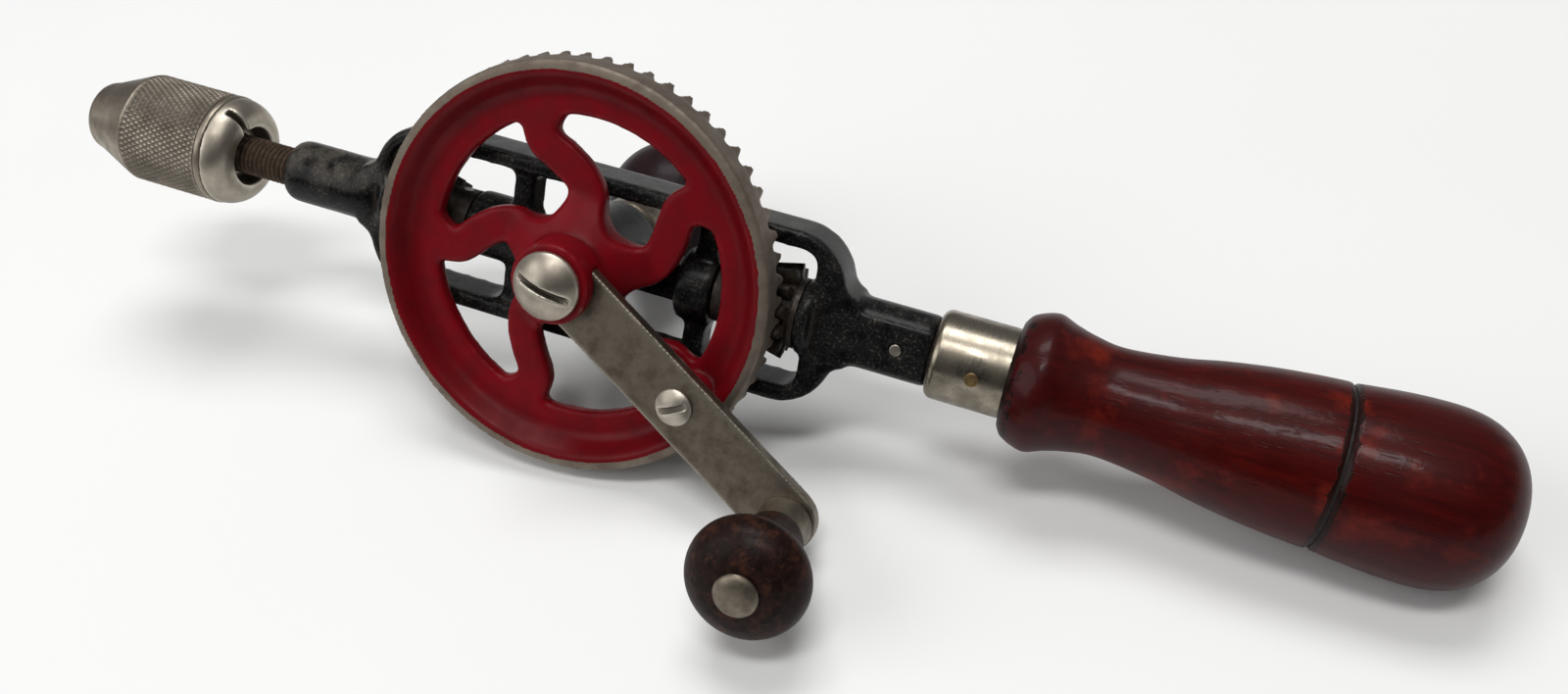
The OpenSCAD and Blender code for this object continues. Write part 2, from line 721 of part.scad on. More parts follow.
module arm_outline(half) {
    far = crank_throw / cos(arm_tilt);
    circle(half);
    translate([far, 0]) circle(half);
    translate([0, -half]) square([far, 2 * half]);
}

module drive_wheel() {
    root_r = wheel_pitch_r - dedendum * cone_sin;
    root_y = pinion_pitch_r + dedendum * cone_cos;
    relief_r = pinion_in_k * (wheel_pitch_r - addendum * cone_sin) - pass_gap;
    edge_r = max(rim_edge_r, rim_crest_r + crest_flat);
    color("#8f1622") as_laid() on_axle() difference() {
        union() {
            wheel_teeth_ring();
            rotate_extrude() polygon([
                [window_r - 2, web_back],
                [relief_r, web_back],
                [wheel_in_k * root_r - 0.5, wheel_in_k * root_y + root_step],
                [root_r + 0.2, root_y + root_step],
                [edge_r, rim_front - 0.3],
                [rim_crest_r + crest_flat, rim_front],
                [rim_crest_r - 0.4, rim_front],
                [rim_crest_r - 1.2, rim_front - 0.7],
                [rim_foot_r + 0.9, web_front + 0.9],
                [rim_foot_r - 0.6, web_front],
                [window_r - 2, web_front]
            ]);
            difference() {
                union() {
                    translate([0, 0, web_back]) cylinder(r = window_r - 1, h = web_front - web_back);
                    translate([0, 0, web_front - hair])
                        cylinder(r1 = root_rise_r, r2 = boss_r - 0.5, h = root_rise);
                }
                for (i = [0 : spokes - 1])
                    rotate([0, 0, crank_angle - spoke_lag + i * 360 / spokes])
                        translate([0, 0, web_back - 1])
                            linear_extrude(web_front - web_back + root_rise + 2) wheel_window();
            }
            translate([0, 0, web_back]) cylinder(r = boss_r, h = boss_front - web_back);
            rotate([0, 0, crank_angle]) intersection() {
                translate([arm_screw_x, 0, web_back + 1]) cylinder(r = arm_seat_r, h = rim_front);
                crank_plane_cut() translate([0, -arm_w, -rim_front]) cube([crank_throw, 2 * arm_w, rim_front]);
            }
        }
        translate([0, 0, -1]) cylinder(r = axle_r + run_gap, h = boss_front + 2);
        rotate([0, 0, crank_angle]) crank_plane_cut() {
            translate([0, 0, -fixed_gap]) linear_extrude(arm_t + 2 * fixed_gap)
                arm_outline(arm_w / 2 + fixed_gap);
            translate([arm_screw_x / cos(arm_tilt), 0, -arm_screw_l - end_gap])
                cylinder(r = arm_screw_r + fixed_gap, h = arm_screw_l + 1);
        }
    }
}

module crank_arm() {
    color("#a39c90") as_laid() on_crank() difference() {
        crank_plane_cut() difference() {
            linear_extrude(arm_t) arm_outline(arm_w / 2);
            translate([arm_screw_x / cos(arm_tilt), 0, -1]) cylinder(r = arm_screw_r + fixed_gap, h = arm_t + 2);
        }
        cylinder(r = axle_r + pass_gap, h = boss_front);
        translate([crank_throw, 0, 0]) cylinder(r = rivet_r + fixed_gap, h = rivet_head_y);
    }
}

module crank_screw() {
    slot_turn = 34;
    color("#b7b0a3") as_laid() on_crank() crank_plane_cut()
        translate([arm_screw_x / cos(arm_tilt), 0, 0]) {
            translate([0, 0, arm_t]) slotted_dome(arm_screw_head_r, arm_screw_head_h, slot_turn);
            translate([0, 0, -arm_screw_l]) cylinder(r = arm_screw_r, h = arm_t + arm_screw_l + hair);
        }
}

module knob_collar() {
    color("#a9a397") as_laid() on_crank() difference() {
        translate([crank_throw, 0, 0]) intersection() {
            union() {
                cylinder(r = collar_r, h = collar_y + 1);
                translate([0, 0, collar_y + 1]) cylinder(r1 = collar_r, r2 = collar_small_r, h = collar_l - 1);
            }
            translate([0, 0, 1]) cylinder(r = collar_r + 1, h = collar_y + collar_l);
        }
        crank_plane_cut() translate([0, -crank_throw, arm_t - 3 * collar_y])
            cube([2 * crank_throw, 2 * crank_throw, 3 * collar_y + fixed_gap]);
        translate([crank_throw, 0, 0]) cylinder(r = rivet_r + fixed_gap, h = rivet_head_y);
    }
}

module knob_rivet() {
    bottom = arm_front + crank_throw * tan(arm_tilt) - arm_t - rivet_r * tan(arm_tilt);
    color("#b5afa3") as_laid() on_crank() translate([crank_throw, 0, 0]) {
        translate([0, 0, bottom]) cylinder(r = rivet_r, h = rivet_head_y - bottom + hair);
        translate([0, 0, rivet_head_y]) rotate_extrude() polygon(concat(
            [[0, 0], [rivet_head_r, 0]],
            [for (a = [0 : 15 : 90]) [
                rivet_head_r - rivet_head_h * 0.6 * (1 - cos(a)),
                rivet_head_h * (0.3 + 0.7 * sin(a))
            ]],
            [[0, rivet_head_h]]
        ));
    }
}

module crank_knob() {
    belly = 0.73 * knob_l;
    outline = smooth_open([
        [knob_neck_r - 0.8, 0],
        [knob_neck_r, 1.2],
        [knob_neck_r + 0.6, belly - 12.5],
        [knob_r - 3.4, belly - 7.5],
        [knob_r - 0.7, belly - 3.2],
        [knob_r, belly],
        [knob_r - 1.2, belly + 3.4],
        [knob_r - 4.2, knob_l - 1],
        [rivet_head_r + 1.6, knob_l]
    ], steps);
    color("#2b1711") as_laid() on_crank() translate([crank_throw, 0, knob_y])
        difference() {
            rotate_extrude() polygon(concat([[0, 0]], outline, [[0, knob_l]]));
            translate([0, 0, -1]) cylinder(r = rivet_r + run_gap, h = knob_l + 2);
        }
}

// Spindle and pinions

function involute(a) = tan(a) - a * PI / 180;
// Half angle of a pinion tooth at radius r of its virtual spur gear
function flank_angle(r) = (tooth_arc / (2 * virtual_r) + involute(pressure_angle)
    - involute(acos(min(base_r / r, 1)))) * 180 / PI;
function pinion_point(r, a, k) = [
    k * r * cone_cos * cos(a / cone_cos),
    k * r * cone_cos * sin(a / cone_cos),
    k * (wheel_pitch_r - (r - virtual_r) * cone_sin)
];

// Teeth of a pinion about the Z axis, apex at the origin, with a space facing +X
module pinion_gear() {
    rise = [virtual_r - dedendum, base_r, virtual_r, virtual_r + addendum / 2, virtual_r + addendum];
    top = len(rise) - 1;
    sunk = virtual_r - dedendum - root_sink;
    profile = [
        for (i = [0 : pinion_teeth - 1]) let (a = (i + 0.5) * pinion_pitch_angle * cone_cos) each concat(
            [for (r = rise) [r, a - flank_angle(r)]],
            [for (k = [top : -1 : 0]) [rise[k], a + flank_angle(rise[k])]]
        )
    ];
    tooth_ring([
        for (p = profile) [
            pinion_point(p[0], p[1], pinion_out_k),
            pinion_point(p[0], p[1], pinion_in_k),
            pinion_point(sunk, p[1], pinion_in_k),
            pinion_point(sunk, p[1], pinion_out_k)
        ]
    ]);
}

// A pinion on the +X side with bore radius r, a space facing the wheel
module pinion(r) {
    inner_x = pinion_in_k * (wheel_pitch_r + dedendum * cone_sin);
    root_r = (virtual_r - dedendum) * cone_cos - root_step;
    difference() {
        union() {
            rotate([0, 90, 0]) rotate([0, 0, -90]) pinion_gear();
            turned([
                [pinion_hub_x, 0],
                [pinion_hub_x, pinion_hub_r],
                [inner_x + 0.4, pinion_hub_r],
                [inner_x + 0.4, pinion_in_k * root_r],
                [pinion_end_x, pinion_out_k * root_r],
                [pinion_end_x, 0]
            ]);
        }
        bar_x(pinion_hub_x - 1, pinion_end_x + 1, r);
    }
}

module spindle() {
    color("#7a5a3f") as_laid() difference() {
        union() {
            bar_x(-spindle_x, -pinion_hub_x, spindle_r);
            bar_x(-pinion_hub_x - hair, -front_strut_x + strut_w / 2 - 1 - end_gap, journal_r);
        }
        translate([-pinion_pin_x, 0, -spindle_r - 1])
            cylinder(r = pinion_pin_r + fixed_gap, h = 2 * spindle_r + 2);
    }
}

module spindle_pinion() {
    color("#5b4a38") as_laid() difference() {
        mirror([1, 0, 0]) pinion(spindle_r + fixed_gap);
        translate([-pinion_pin_x, 0, -pinion_hub_r - 1])
            cylinder(r = pinion_pin_r + fixed_gap, h = 2 * pinion_hub_r + 2);
    }
}

module pinion_pin() {
    color("#8f887d") as_laid() translate([-pinion_pin_x, 0, -pinion_hub_r])
        cylinder(r = pinion_pin_r, h = 2 * pinion_hub_r);
}

module idler_pinion() {
    color("#4c4034") as_laid() pinion(rod_r + run_gap);
}

// Chuck

module chuck_shell() {
    e = nose_edge;
    color("#b4b1aa") as_laid() turned(concat(
        [[-nose_x, mouth_r], [-mouth_x, mouth_r], [-cone_back_x, hollow_r], [-grip_back_x, hollow_r]],
        [[-grip_back_x, chuck_r], [-grip_front_x, chuck_r]],
        [for (a = [90 : -18 : 0]) [-nose_x + e - e * cos(a), nose_r - e + e * sin(a)]]
    ));
}

module chuck_bead() {
    b = bead_l / 2;
    color("#c2beb4") as_laid() turned(concat(
        [[-bead_back_x, hollow_r], [-grip_back_x, hollow_r]],
        [for (a = [180 : -30 : 0]) [-grip_back_x + b + b * cos(a), chuck_r - 0.5 + 0.6 * sin(a)]]
    ));
}

module chuck_back() {
    spigot_r_back = hollow_r - fixed_gap;
    dome_l = bead_back_x - chuck_back_x;
    color("#c9c5bb") as_laid() difference() {
        turned(concat(
            [[-chuck_back_x, recess_r], [-chuck_back_x - recess_l, recess_r - 0.8]],
            [[-chuck_back_x - recess_l, spindle_r + run_gap], [-(spindle_x - 2), spindle_r + run_gap]],
            [[-(spindle_x - 2), spigot_r_back], [-bead_back_x, spigot_r_back]],
            [for (a = [0 : 10 : 90]) [
                -bead_back_x + dome_l * sin(a),
                chuck_back_r + (chuck_r - 0.2 - chuck_back_r) * cos(a)
            ]]
        ));
        rotate([notch_turn, 0, 0])
            translate([-chuck_back_x - notch_l, -notch_w / 2, 0]) cube([dome_l, notch_w, chuck_r]);
    }
}

// A jaw pointing along +Z from the axis
module jaw() {
    flank = jaw_w / 2;
    back_x = spindle_x + jaw_gap;
    front_x = mouth_x + 0.6;
    intersection() {
        turned([
            [-front_x, 0],
            [-front_x, mouth_r - pass_gap - 0.6 * cone_slope],
            [-cone_back_x, hollow_r - pass_gap],
            [-back_x, hollow_r - pass_gap],
            [-back_x, 0]
        ]);
        translate([-front_x - 1, 0, 0]) rotate([90, 0, 90]) linear_extrude(front_x) polygon([
            [0, jaw_open],
            [flank, jaw_open + flank / tan(60)],
            [flank, hollow_r],
            [-flank, hollow_r],
            [-flank, jaw_open + flank / tan(60)]
        ]);
    }
}

module jaw_1() {
    color("#8b867d") as_laid() rotate([jaw_turn, 0, 0]) jaw();
}

module jaw_2() {
    color("#8b867d") as_laid() rotate([jaw_turn + 120, 0, 0]) jaw();
}

module jaw_3() {
    color("#8b867d") as_laid() rotate([jaw_turn + 240, 0, 0]) jaw();
}

// Side handle

module side_stud() {
    color("#99938a") as_laid() bar_y(hub_back - stud_l, side_y + side_ferrule_l + stud_top_l, stud_r);
}

module side_ferrule() {
    y1 = side_y + side_ferrule_l;
    color("#b9b5ab") as_laid() rotate([-90, 0, 0]) rotate_extrude() polygon([
        [stud_r + fixed_gap, side_y],
        [side_ferrule_r - 1.4, side_y],
        [side_ferrule_r - 0.5, side_y + 0.5],
        [side_ferrule_r, side_y + 2],
        [side_ferrule_r, y1],
        [stud_r + fixed_gap, y1]
    ]);
}

module side_knob() {
    y0 = side_y + side_ferrule_l;
    neck_r = side_ferrule_r + 0.4;
    join = asin((neck_r + 1.2) / ball_r);
    color("#2a171b") as_laid() difference() {
        rotate([-90, 0, 0]) rotate_extrude() polygon(concat(
            [[0, y0], [neck_r - 0.6, y0], [neck_r, y0 + 0.8]],
            [for (a = [join : (180 - join) / 20 : 180]) [ball_r * sin(a), ball_y - ball_r * cos(a)]],
            [[0, ball_y + ball_r]]
        ));
        bar_y(y0 - 1, y0 + stud_top_l + end_gap, stud_r + fixed_gap);
    }
}

frame_casting();
thrust_washers();
axle_screw();
tang_rod();
shank_pin();
ferrule();
ferrule_pin();
handle_grip();
cap_washer();
handle_cap();
drive_wheel();
crank_arm();
crank_screw();
knob_collar();
knob_rivet();
crank_knob();
spindle();
spindle_pinion();
pinion_pin();
idler_pinion();
chuck_shell();
chuck_bead();
chuck_back();
jaw_1();
jaw_2();
jaw_3();
side_stud();
side_ferrule();
side_knob();
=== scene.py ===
"""Looks of an eggbeater hand drill: its pieces, their finishes, the light and the camera.

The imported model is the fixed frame. New pieces are worked out on the drill's own axes in
millimetres, X along the spindle toward the handle, Y along the axle away from the crank and
Z square to both, and are then put into the row frame in metres.
"""

import json
import logging
import math
from dataclasses import dataclass
from enum import Enum
from typing import Any, Callable, Optional

import bmesh
import bpy
import numpy as np
from mathutils import Matrix


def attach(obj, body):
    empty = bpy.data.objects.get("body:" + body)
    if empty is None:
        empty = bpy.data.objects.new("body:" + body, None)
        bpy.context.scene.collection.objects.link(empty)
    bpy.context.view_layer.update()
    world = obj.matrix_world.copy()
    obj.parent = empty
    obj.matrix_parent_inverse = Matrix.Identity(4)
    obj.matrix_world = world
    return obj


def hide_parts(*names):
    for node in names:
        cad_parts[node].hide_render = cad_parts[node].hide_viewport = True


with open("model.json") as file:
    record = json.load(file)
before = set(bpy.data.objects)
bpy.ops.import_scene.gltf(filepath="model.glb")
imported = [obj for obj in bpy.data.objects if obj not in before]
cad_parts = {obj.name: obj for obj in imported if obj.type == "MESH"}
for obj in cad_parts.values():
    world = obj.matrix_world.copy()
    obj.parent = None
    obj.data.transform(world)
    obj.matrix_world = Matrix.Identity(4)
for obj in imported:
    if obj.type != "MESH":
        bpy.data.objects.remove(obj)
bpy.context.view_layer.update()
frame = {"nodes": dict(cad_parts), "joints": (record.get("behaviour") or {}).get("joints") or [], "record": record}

MM = 0.001
WELD = 1e-6
CORNER_SHARE = 0.45
IMAGE_W, IMAGE_H = 1600, 708
WHITE = (1.0, 1.0, 1.0, 1.0)
LOG = logging.getLogger("hand_drill")
Array = np.ndarray
Span = tuple[float, float]
Triple = tuple[float, float, float]
Colour = tuple[float, float, float, float]


class Slot(Enum):
    """The record's material slots."""

    JAPAN = "black_japan"
    ENAMEL = "red_enamel"
    NICKEL = "nickel_plate"
    BRIGHT = "bright_nickel"
    CHUCK = "chuck_nickel"
    STEEL = "plain_steel"
    GREASY = "greasy_steel"
    RUSTY = "rusty_steel"
    BRASS = "brass_pin"
    FIBRE = "black_fibre"
    RED_WOOD = "red_stained_wood"
    DARK_WOOD = "dark_wood"
    PLUM_WOOD = "plum_wood"


class Line(Enum):
    """The lines that pieces are turned about."""

    SPINDLE = "spindle"
    AXLE = "axle"
    CRANK_PIN = "crank_pin"


# Arithmetic


def linear(code: str) -> Colour:
    """Linear colour of an sRGB hex value."""
    parts = np.array([int(code[i : i + 2], 16) for i in (1, 3, 5)]) / 255.0
    curve = np.where(parts <= 0.04045, parts / 12.92, ((parts + 0.055) / 1.055) ** 2.4)
    return (float(curve[0]), float(curve[1]), float(curve[2]), 1.0)


def per_mm(size: float) -> float:
    """Texture scale, on coordinates in metres, of a pattern with features of so many millimetres."""
    return 1.0 / (size * MM)


def unit(vector: Array) -> Array:
    """A vector of length 1 along another."""
    return vector / np.linalg.norm(vector)


def ease(t: Array) -> Array:
    """Smooth step: 3 t^2 - 2 t^3, with t held between 0 and 1."""
    t = np.clip(t, 0.0, 1.0)
    return t * t * (3.0 - 2.0 * t)


def saw(t: Array) -> Array:
    """Triangle wave of period 1 that is 0 at whole numbers and 1 half way between them."""
    return 1.0 - np.abs(2.0 * (t - np.floor(t)) - 1.0)


def through(points: list[Span], steps: int) -> Array:
    """Smooth curve through points: a cubic between each pair, whose slope at a point is half the
    step between its neighbours.

    Args:
        points: the points as (station, radius).
        steps: samples from point to point.

    Returns:
        The samples, one row each.
    """
    p = np.array(points, float)
    q = np.vstack([p[:1], p, p[-1:]])
    a, b, c, d = (q[k : len(q) - 3 + k, None, :] for k in range(4))
    t = (np.arange(steps) / steps)[None, :, None]
    curve = (
        b
        + (c - a) * t / 2
        + (2 * a - 5 * b + 4 * c - d) * t**2 / 2
        + (3 * b - a - 3 * c + d) * t**3 / 2
    )
    return np.vstack([curve.reshape(-1, 2), p[-1:]])


def rounded(points: list[Span], radius: float, closed: bool, steps: int = 5) -> Array:
    """Polygon with each corner replaced by a parabola that leaves its two sides at most radius away.

    Args:
        points: the corners as (station, radius).
        radius: reach of the rounding along each side, in millimetres.
        closed: True rounds the first and last corner too.
        steps: samples on each corner.

    Returns:
        The rounded outline, one row a sample.
    """
    p = np.array(points, float)
    before, after = np.roll(p, 1, 0) - p, np.roll(p, -1, 0) - p
    long_b = np.linalg.norm(before, axis=1, keepdims=True)
    long_a = np.linalg.norm(after, axis=1, keepdims=True)
    start = p + before / long_b * np.minimum(radius, CORNER_SHARE * long_b)
    stop = p + after / long_a * np.minimum(radius, CORNER_SHARE * long_a)
    t = np.linspace(0.0, 1.0, steps)[None, :, None]
    bend = (1 - t) ** 2 * start[:, None] + 2 * t * (1 - t) * p[:, None] + t**2 * stop[:, None]
    if closed:
        return bend.reshape(-1, 2)
    return np.vstack([p[:1], bend[1:-1].reshape(-1, 2), p[-1:]])


def arc(middle: Span, reach: Span, degrees: Span, steps: int) -> Array:
    """Part of an ellipse: middle + (-reach cos a, reach sin a), with a from one angle to another."""
    a = np.radians(np.linspace(*degrees, steps))
    return np.column_stack([middle[0] - reach[0] * np.cos(a), middle[1] + reach[1] * np.sin(a)])


@dataclass(frozen=True)
class DrillAxes:
    """The drill's own axes in the row frame: columns of turn, and origin in metres."""

    turn: Array
    origin: Array

    @classmethod
    def from_joints(cls, joints: list[dict[str, Any]]) -> "DrillAxes":
        """Axes read from the joints of the spindle, which is X, and the wheel, which is -Y."""
        known = {j["name"]: j for j in joints}
        x = unit(np.array(known["spindle_spin"]["axis"], float))
        y = unit(-np.array(known["drive_turn"]["axis"], float))
        return cls(np.column_stack([x, y, np.cross(x, y)]), np.array(known["drive_turn"]["pos_m"], float))

    def place(self, points: Array) -> Array:
        """Points of the row frame in metres from points on the drill's axes in millimetres."""
        return points @ self.turn.T * MM + self.origin

    def read(self, points: Array) -> Array:
        """Points on the drill's axes in millimetres from points of the row frame in metres."""
        return (points - self.origin) @ self.turn / MM


# Meshes


def in_scene(name: str, data: Any) -> bpy.types.Object:
    """A new object at the origin, linked to the scene."""
    made = bpy.data.objects.new(name, data)
    bpy.context.scene.collection.objects.link(made)
    return made


def mesh_from(name: str, points: Array, faces: list[list[int]], sharp_deg: float = 40.0) -> bpy.types.Object:
    """A mesh object at the origin, smooth but for edges sharper than an angle.

    Args:
        name: name of the piece.
        points: vertices in the row frame, in metres.
        faces: corner numbers of each face.
        sharp_deg: angle between faces from which an edge stays sharp.

    Returns:
        The object, linked to the scene.
    """
    mesh = bpy.data.meshes.new(name)
    mesh.from_pydata(points.tolist(), [], faces)
    mesh.polygons.foreach_set("use_smooth", np.ones(len(mesh.polygons), bool))
    mesh.set_sharp_from_angle(angle=math.radians(sharp_deg))
    return in_scene(name, mesh)


def rows_of(mesh: bpy.types.Mesh, what: str) -> Array:
    """The co or normal of a mesh's vertices, one row each."""
    flat = np.zeros(3 * len(mesh.vertices), np.float32)
    mesh.vertices.foreach_get(what, flat)
    return flat.reshape(-1, 3).astype(float)


def tag(mesh: bpy.types.Mesh, name: str, values: Array) -> None:
    """Writes one number per vertex, 0 or more, as an attribute that materials read. What an
    attribute of that name already holds stays where it is larger."""
    if name not in mesh.attributes:
        mesh.attributes.new(name, "FLOAT", "POINT")
    held = mesh.attributes[name].data
    now = np.zeros(len(held), np.float32)
    held.foreach_get("value", now)
    held.foreach_set("value", np.maximum(now, values).astype(np.float32))


def turned_points(line: Line, at: Span, station: Array, radius: Array, around: int) -> Array:
    """Grid of a turned surface: line + station along it + radius (cos a, sin a) across it.

    Args:
        line: the line that the piece is turned about.
        at: drill X and Z of that line, unless it is the spindle's.
        station: places along the line, one per row.
        radius: radius per row and angle, or per row in one column.
        around: samples around.

    Returns:
        Points as rows x around x 3, in millimetres.
    """
    angle = 2.0 * np.pi * np.arange(around) / around
    along = np.broadcast_to(station[:, None], (len(station), around))
    u, v = radius * np.cos(angle), radius * np.sin(angle)
    if line is Line.SPINDLE:
        return np.stack([along, u, v], -1)
    if line is Line.AXLE:
        return np.stack([v + at[0], along, u + at[1]], -1)
    return np.stack([u + at[0], -along, v + at[1]], -1)


def turned_faces(rows: int, around: int, ring: bool) -> list[list[int]]:
    """Faces of a turned surface with outward order: quads between rows, and a fan at each pole.

    Args:
        rows: rows of the grid.
        around: samples around.
        ring: True joins the last row to the first, and False closes both ends with a pole.

    Returns:
        Corner numbers. The poles are numbered after the grid.
    """
    i = np.arange(rows if ring else rows - 1)[:, None]
    j = np.arange(around)[None, :]
    k = (j + 1) % around
    n = (i + 1) % rows
    quads = np.stack([i * around + j, i * around + k, n * around + k, n * around + j], -1)
    faces = quads.reshape(-1, 4).tolist()
    if not ring:
        first, last = rows * around, rows * around + 1
        top = (rows - 1) * around
        j, k = j[0], k[0]
        faces += np.stack([np.full(around, first), k, j], -1).tolist()
        faces += np.stack([np.full(around, last), top + j, top + k], -1).tolist()
    return faces


def neighbour_mean(points: Array, edges: Array) -> Array:
    """Mean of the points that each point shares an edge with."""
    size = len(points)
    count = np.bincount(edges.ravel(), minlength=size)
    near, far = edges[:, 0], edges[:, 1]
    total = [
        np.bincount(near, points[far, axis], size) + np.bincount(far, points[near, axis], size)
        for axis in range(3)
    ]
    return np.stack(total, -1) / np.maximum(count, 1)[:, None]


def relaxed(points: Array, edges: Array, weight: Array, rounds: int) -> Array:
    """Points moved half way to their neighbours' mean, times a weight, once a round."""
    for _ in range(rounds):
        points = points + 0.5 * weight[:, None] * (neighbour_mean(points, edges) - points)
    return points


@dataclass
class Workshop:
    """What every sub-assembly works with: the axes and the finished materials. A point of a softened
    piece is fully proud or hollow when it lies full_relief of relief_mm off the surface around it."""

    axes: DrillAxes
    materials: dict[Slot, bpy.types.Material]
    relief_mm: float = 1.1
    full_relief: float = 0.15

    def settle(self, piece: bpy.types.Object, node: str, slot: Slot) -> bpy.types.Object:
        """Gives a new piece the material of its slot and its body, and hides the node that it stands for."""
        bodies = frame["record"]["behaviour"]["bodies"]
        body = next(name for name, nodes in bodies.items() if node in nodes)
        piece.data.materials.clear()
        piece.data.materials.append(self.materials[slot])
        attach(piece, body)
        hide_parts(node)
        LOG.info("%s on %s: %d faces", piece.name, body, len(piece.data.polygons))
        return piece

    def points_of(self, piece: bpy.types.Object) -> Array:
        """A piece's points on the drill's axes, in millimetres."""
        return self.axes.read(rows_of(piece.data, "co"))

    def dress(self, slot: Slot, *nodes: str) -> None:
        """Gives CAD nodes that stay their material."""
        for node in nodes:
            held = frame["nodes"][node].data.materials
            held.clear()
            held.append(self.materials[slot])
            LOG.info("%s keeps its solid", node)

    def turned(
        self, node: str, slot: Slot, outline: Array, around: int, line: Line = Line.SPINDLE,
        at: Span = (0.0, 0.0), ring: bool = False, sunk: Optional[Array] = None, first: int = 0,
        depth: float = 0.0,
    ) -> bpy.types.Object:
        """A turned piece in place of a CAD node.

        Args:
            node: the node that it stands for.
            slot: its finish.
            outline: rows of (station, radius), outer side with the station rising.
            around: samples around.
            line: the line that it is turned about.
            at: drill X and Z of that line.
            ring: True for a closed outline, and False for one from pole to pole.
            sunk: a relief, 0 to 1 per row and angle, that is cut into it and marked as hollow.
            first: the row of the grid that the relief starts at.
            depth: depth of the relief where it is 1.

        Returns:
            The piece.
        """
        rows = outline if ring else outline[1:-1]
        hollow = np.zeros((len(rows), around))
        if sunk is not None:
            hollow[first : first + len(sunk)] = sunk
        radius = rows[:, 1:2] - depth * hollow
        points = turned_points(line, at, rows[:, 0], radius, around).reshape(-1, 3)
        if not ring:
            ends = turned_points(line, at, outline[[0, -1], 0], np.zeros((2, 1)), 1).reshape(-1, 3)
            points = np.vstack([points, ends])
        piece = mesh_from(node + "_turned", self.axes.place(points), turned_faces(len(rows), around, ring))
        if sunk is not None:
            tag(piece.data, "hollow", np.pad(hollow.ravel(), (0, len(points) - hollow.size)))
        return self.settle(piece, node, slot)

    def pin(self, node: str, slot: Slot, x: float, half: float, r: float, edge: float, around: int) -> None:
        """A cross pin along Y, in place of a CAD node.

        Args:
            node: the node that it stands for.
            slot: its finish.
            x: its place on the spindle's line.
            half: half of its length.
            r: its radius.
            edge: reach of its rounded ends.
            around: samples around.
        """
        outline = rounded([(-half, 0.0), (-half, r), (half, r), (half, 0.0)], edge, False)
        self.turned(node, slot, outline, around, Line.AXLE, (x, 0.0))

    def skinned(self, node: str, voxel: float) -> bpy.types.Object:
        """A copy of a CAD node, merged and skinned with even faces of so many millimetres."""
        shape = bmesh.new()
        shape.from_mesh(frame["nodes"][node].data)
        bmesh.ops.remove_doubles(shape, verts=shape.verts, dist=WELD)
        merged = bpy.data.meshes.new(node + "_merged")
        shape.to_mesh(merged)
        shape.free()
        piece = in_scene(node + "_soft", merged)
        skin = piece.modifiers.new("skin", "REMESH")
        skin.mode = "VOXEL"
        skin.voxel_size = voxel * MM
        bpy.context.view_layer.update()
        seen = piece.evaluated_get(bpy.context.evaluated_depsgraph_get())
        mesh = bpy.data.meshes.new_from_object(seen)
        piece.modifiers.clear()
        piece.data = mesh
        mesh.name = node + "_soft"
        bpy.data.meshes.remove(merged)
        return piece

    def softened(
        self, node: str, slot: Slot, voxel: float, rounds: int,
        firm: Optional[Callable[[Array], Array]] = None, slot_turn: Triple = (0.0, 0.0, 0.0),
    ) -> bpy.types.Object:
        """A copy of a CAD node with worn, rounded edges, in place of it: the points of its skin move
        toward their neighbours' mean.

        Args:
            node: the node that it stands for.
            slot: its finish.
            voxel: size of the skin's even faces, in millimetres.
            rounds: rounds of softening.
            firm: gives, for points on the drill's axes, how freely each may move, 0 to 1.
            slot_turn: degrees, X and Z by which a screw's slot is turned about the screw's own line.

        Returns:
            The piece, whose attributes proud and hollow say how far a point stands out or lies in.
        """
        piece = self.skinned(node, voxel)
        mesh = piece.data
        points = self.points_of(piece)
        turn, middle = math.radians(slot_turn[0]), np.array(slot_turn[1:])
        spin = np.array([[math.cos(turn), math.sin(turn)], [-math.sin(turn), math.cos(turn)]])
        points[:, [0, 2]] = (points[:, [0, 2]] - middle) @ spin + middle
        edges = np.zeros(2 * len(mesh.edges), np.int32)
        mesh.edges.foreach_get("vertices", edges)
        edges = edges.reshape(-1, 2)
        evenly = np.ones(len(points))
        points = relaxed(points, edges, evenly if firm is None else firm(points), rounds)
        mesh.vertices.foreach_set("co", self.axes.place(points).astype(np.float32).ravel())
        mesh.polygons.foreach_set("use_smooth", np.ones(len(mesh.polygons), bool))
        mesh.update()
        normal = rows_of(mesh, "normal") @ self.axes.turn
        broad = relaxed(points, edges, evenly, int(2.0 * (self.relief_mm / voxel) ** 2))
        rise = np.einsum("ij,ij->i", points - broad, normal) / (self.full_relief * self.relief_mm)
        tag(mesh, "proud", np.clip(rise, 0.0, 1.0))
        tag(mesh, "hollow", np.clip(-rise, 0.0, 1.0))
        return self.settle(piece, node, slot)


# Finishes


def put(tree: bpy.types.NodeTree, kind: str, links: Optional[dict[Any, Any]] = None, **settings: Any) -> Any:
    """Adds a node with its settings and links.

    Args:
        tree: the material's or world's node tree.
        kind: the node's type, without the word that all of them start with.
        links: what each input takes: another node's output, or a value.
        settings: the node's own properties, or stops for a colour ramp.

    Returns:
        The node.
    """
    node = tree.nodes.new("ShaderNode" + kind)
    for key, value in settings.items():
        if key == "stops":
            ramp = node.color_ramp.elements
            while len(ramp) < len(value):
                ramp.new(1.0)
            for held, (place, code) in zip(ramp, value):
                held.position, held.color = place, linear(code)
        else:
            setattr(node, key, value)
    for key, value in (links or {}).items():
        if isinstance(value, bpy.types.NodeSocket):
            tree.links.new(value, node.inputs[key])
        else:
            node.inputs[key].default_value = value
    return node


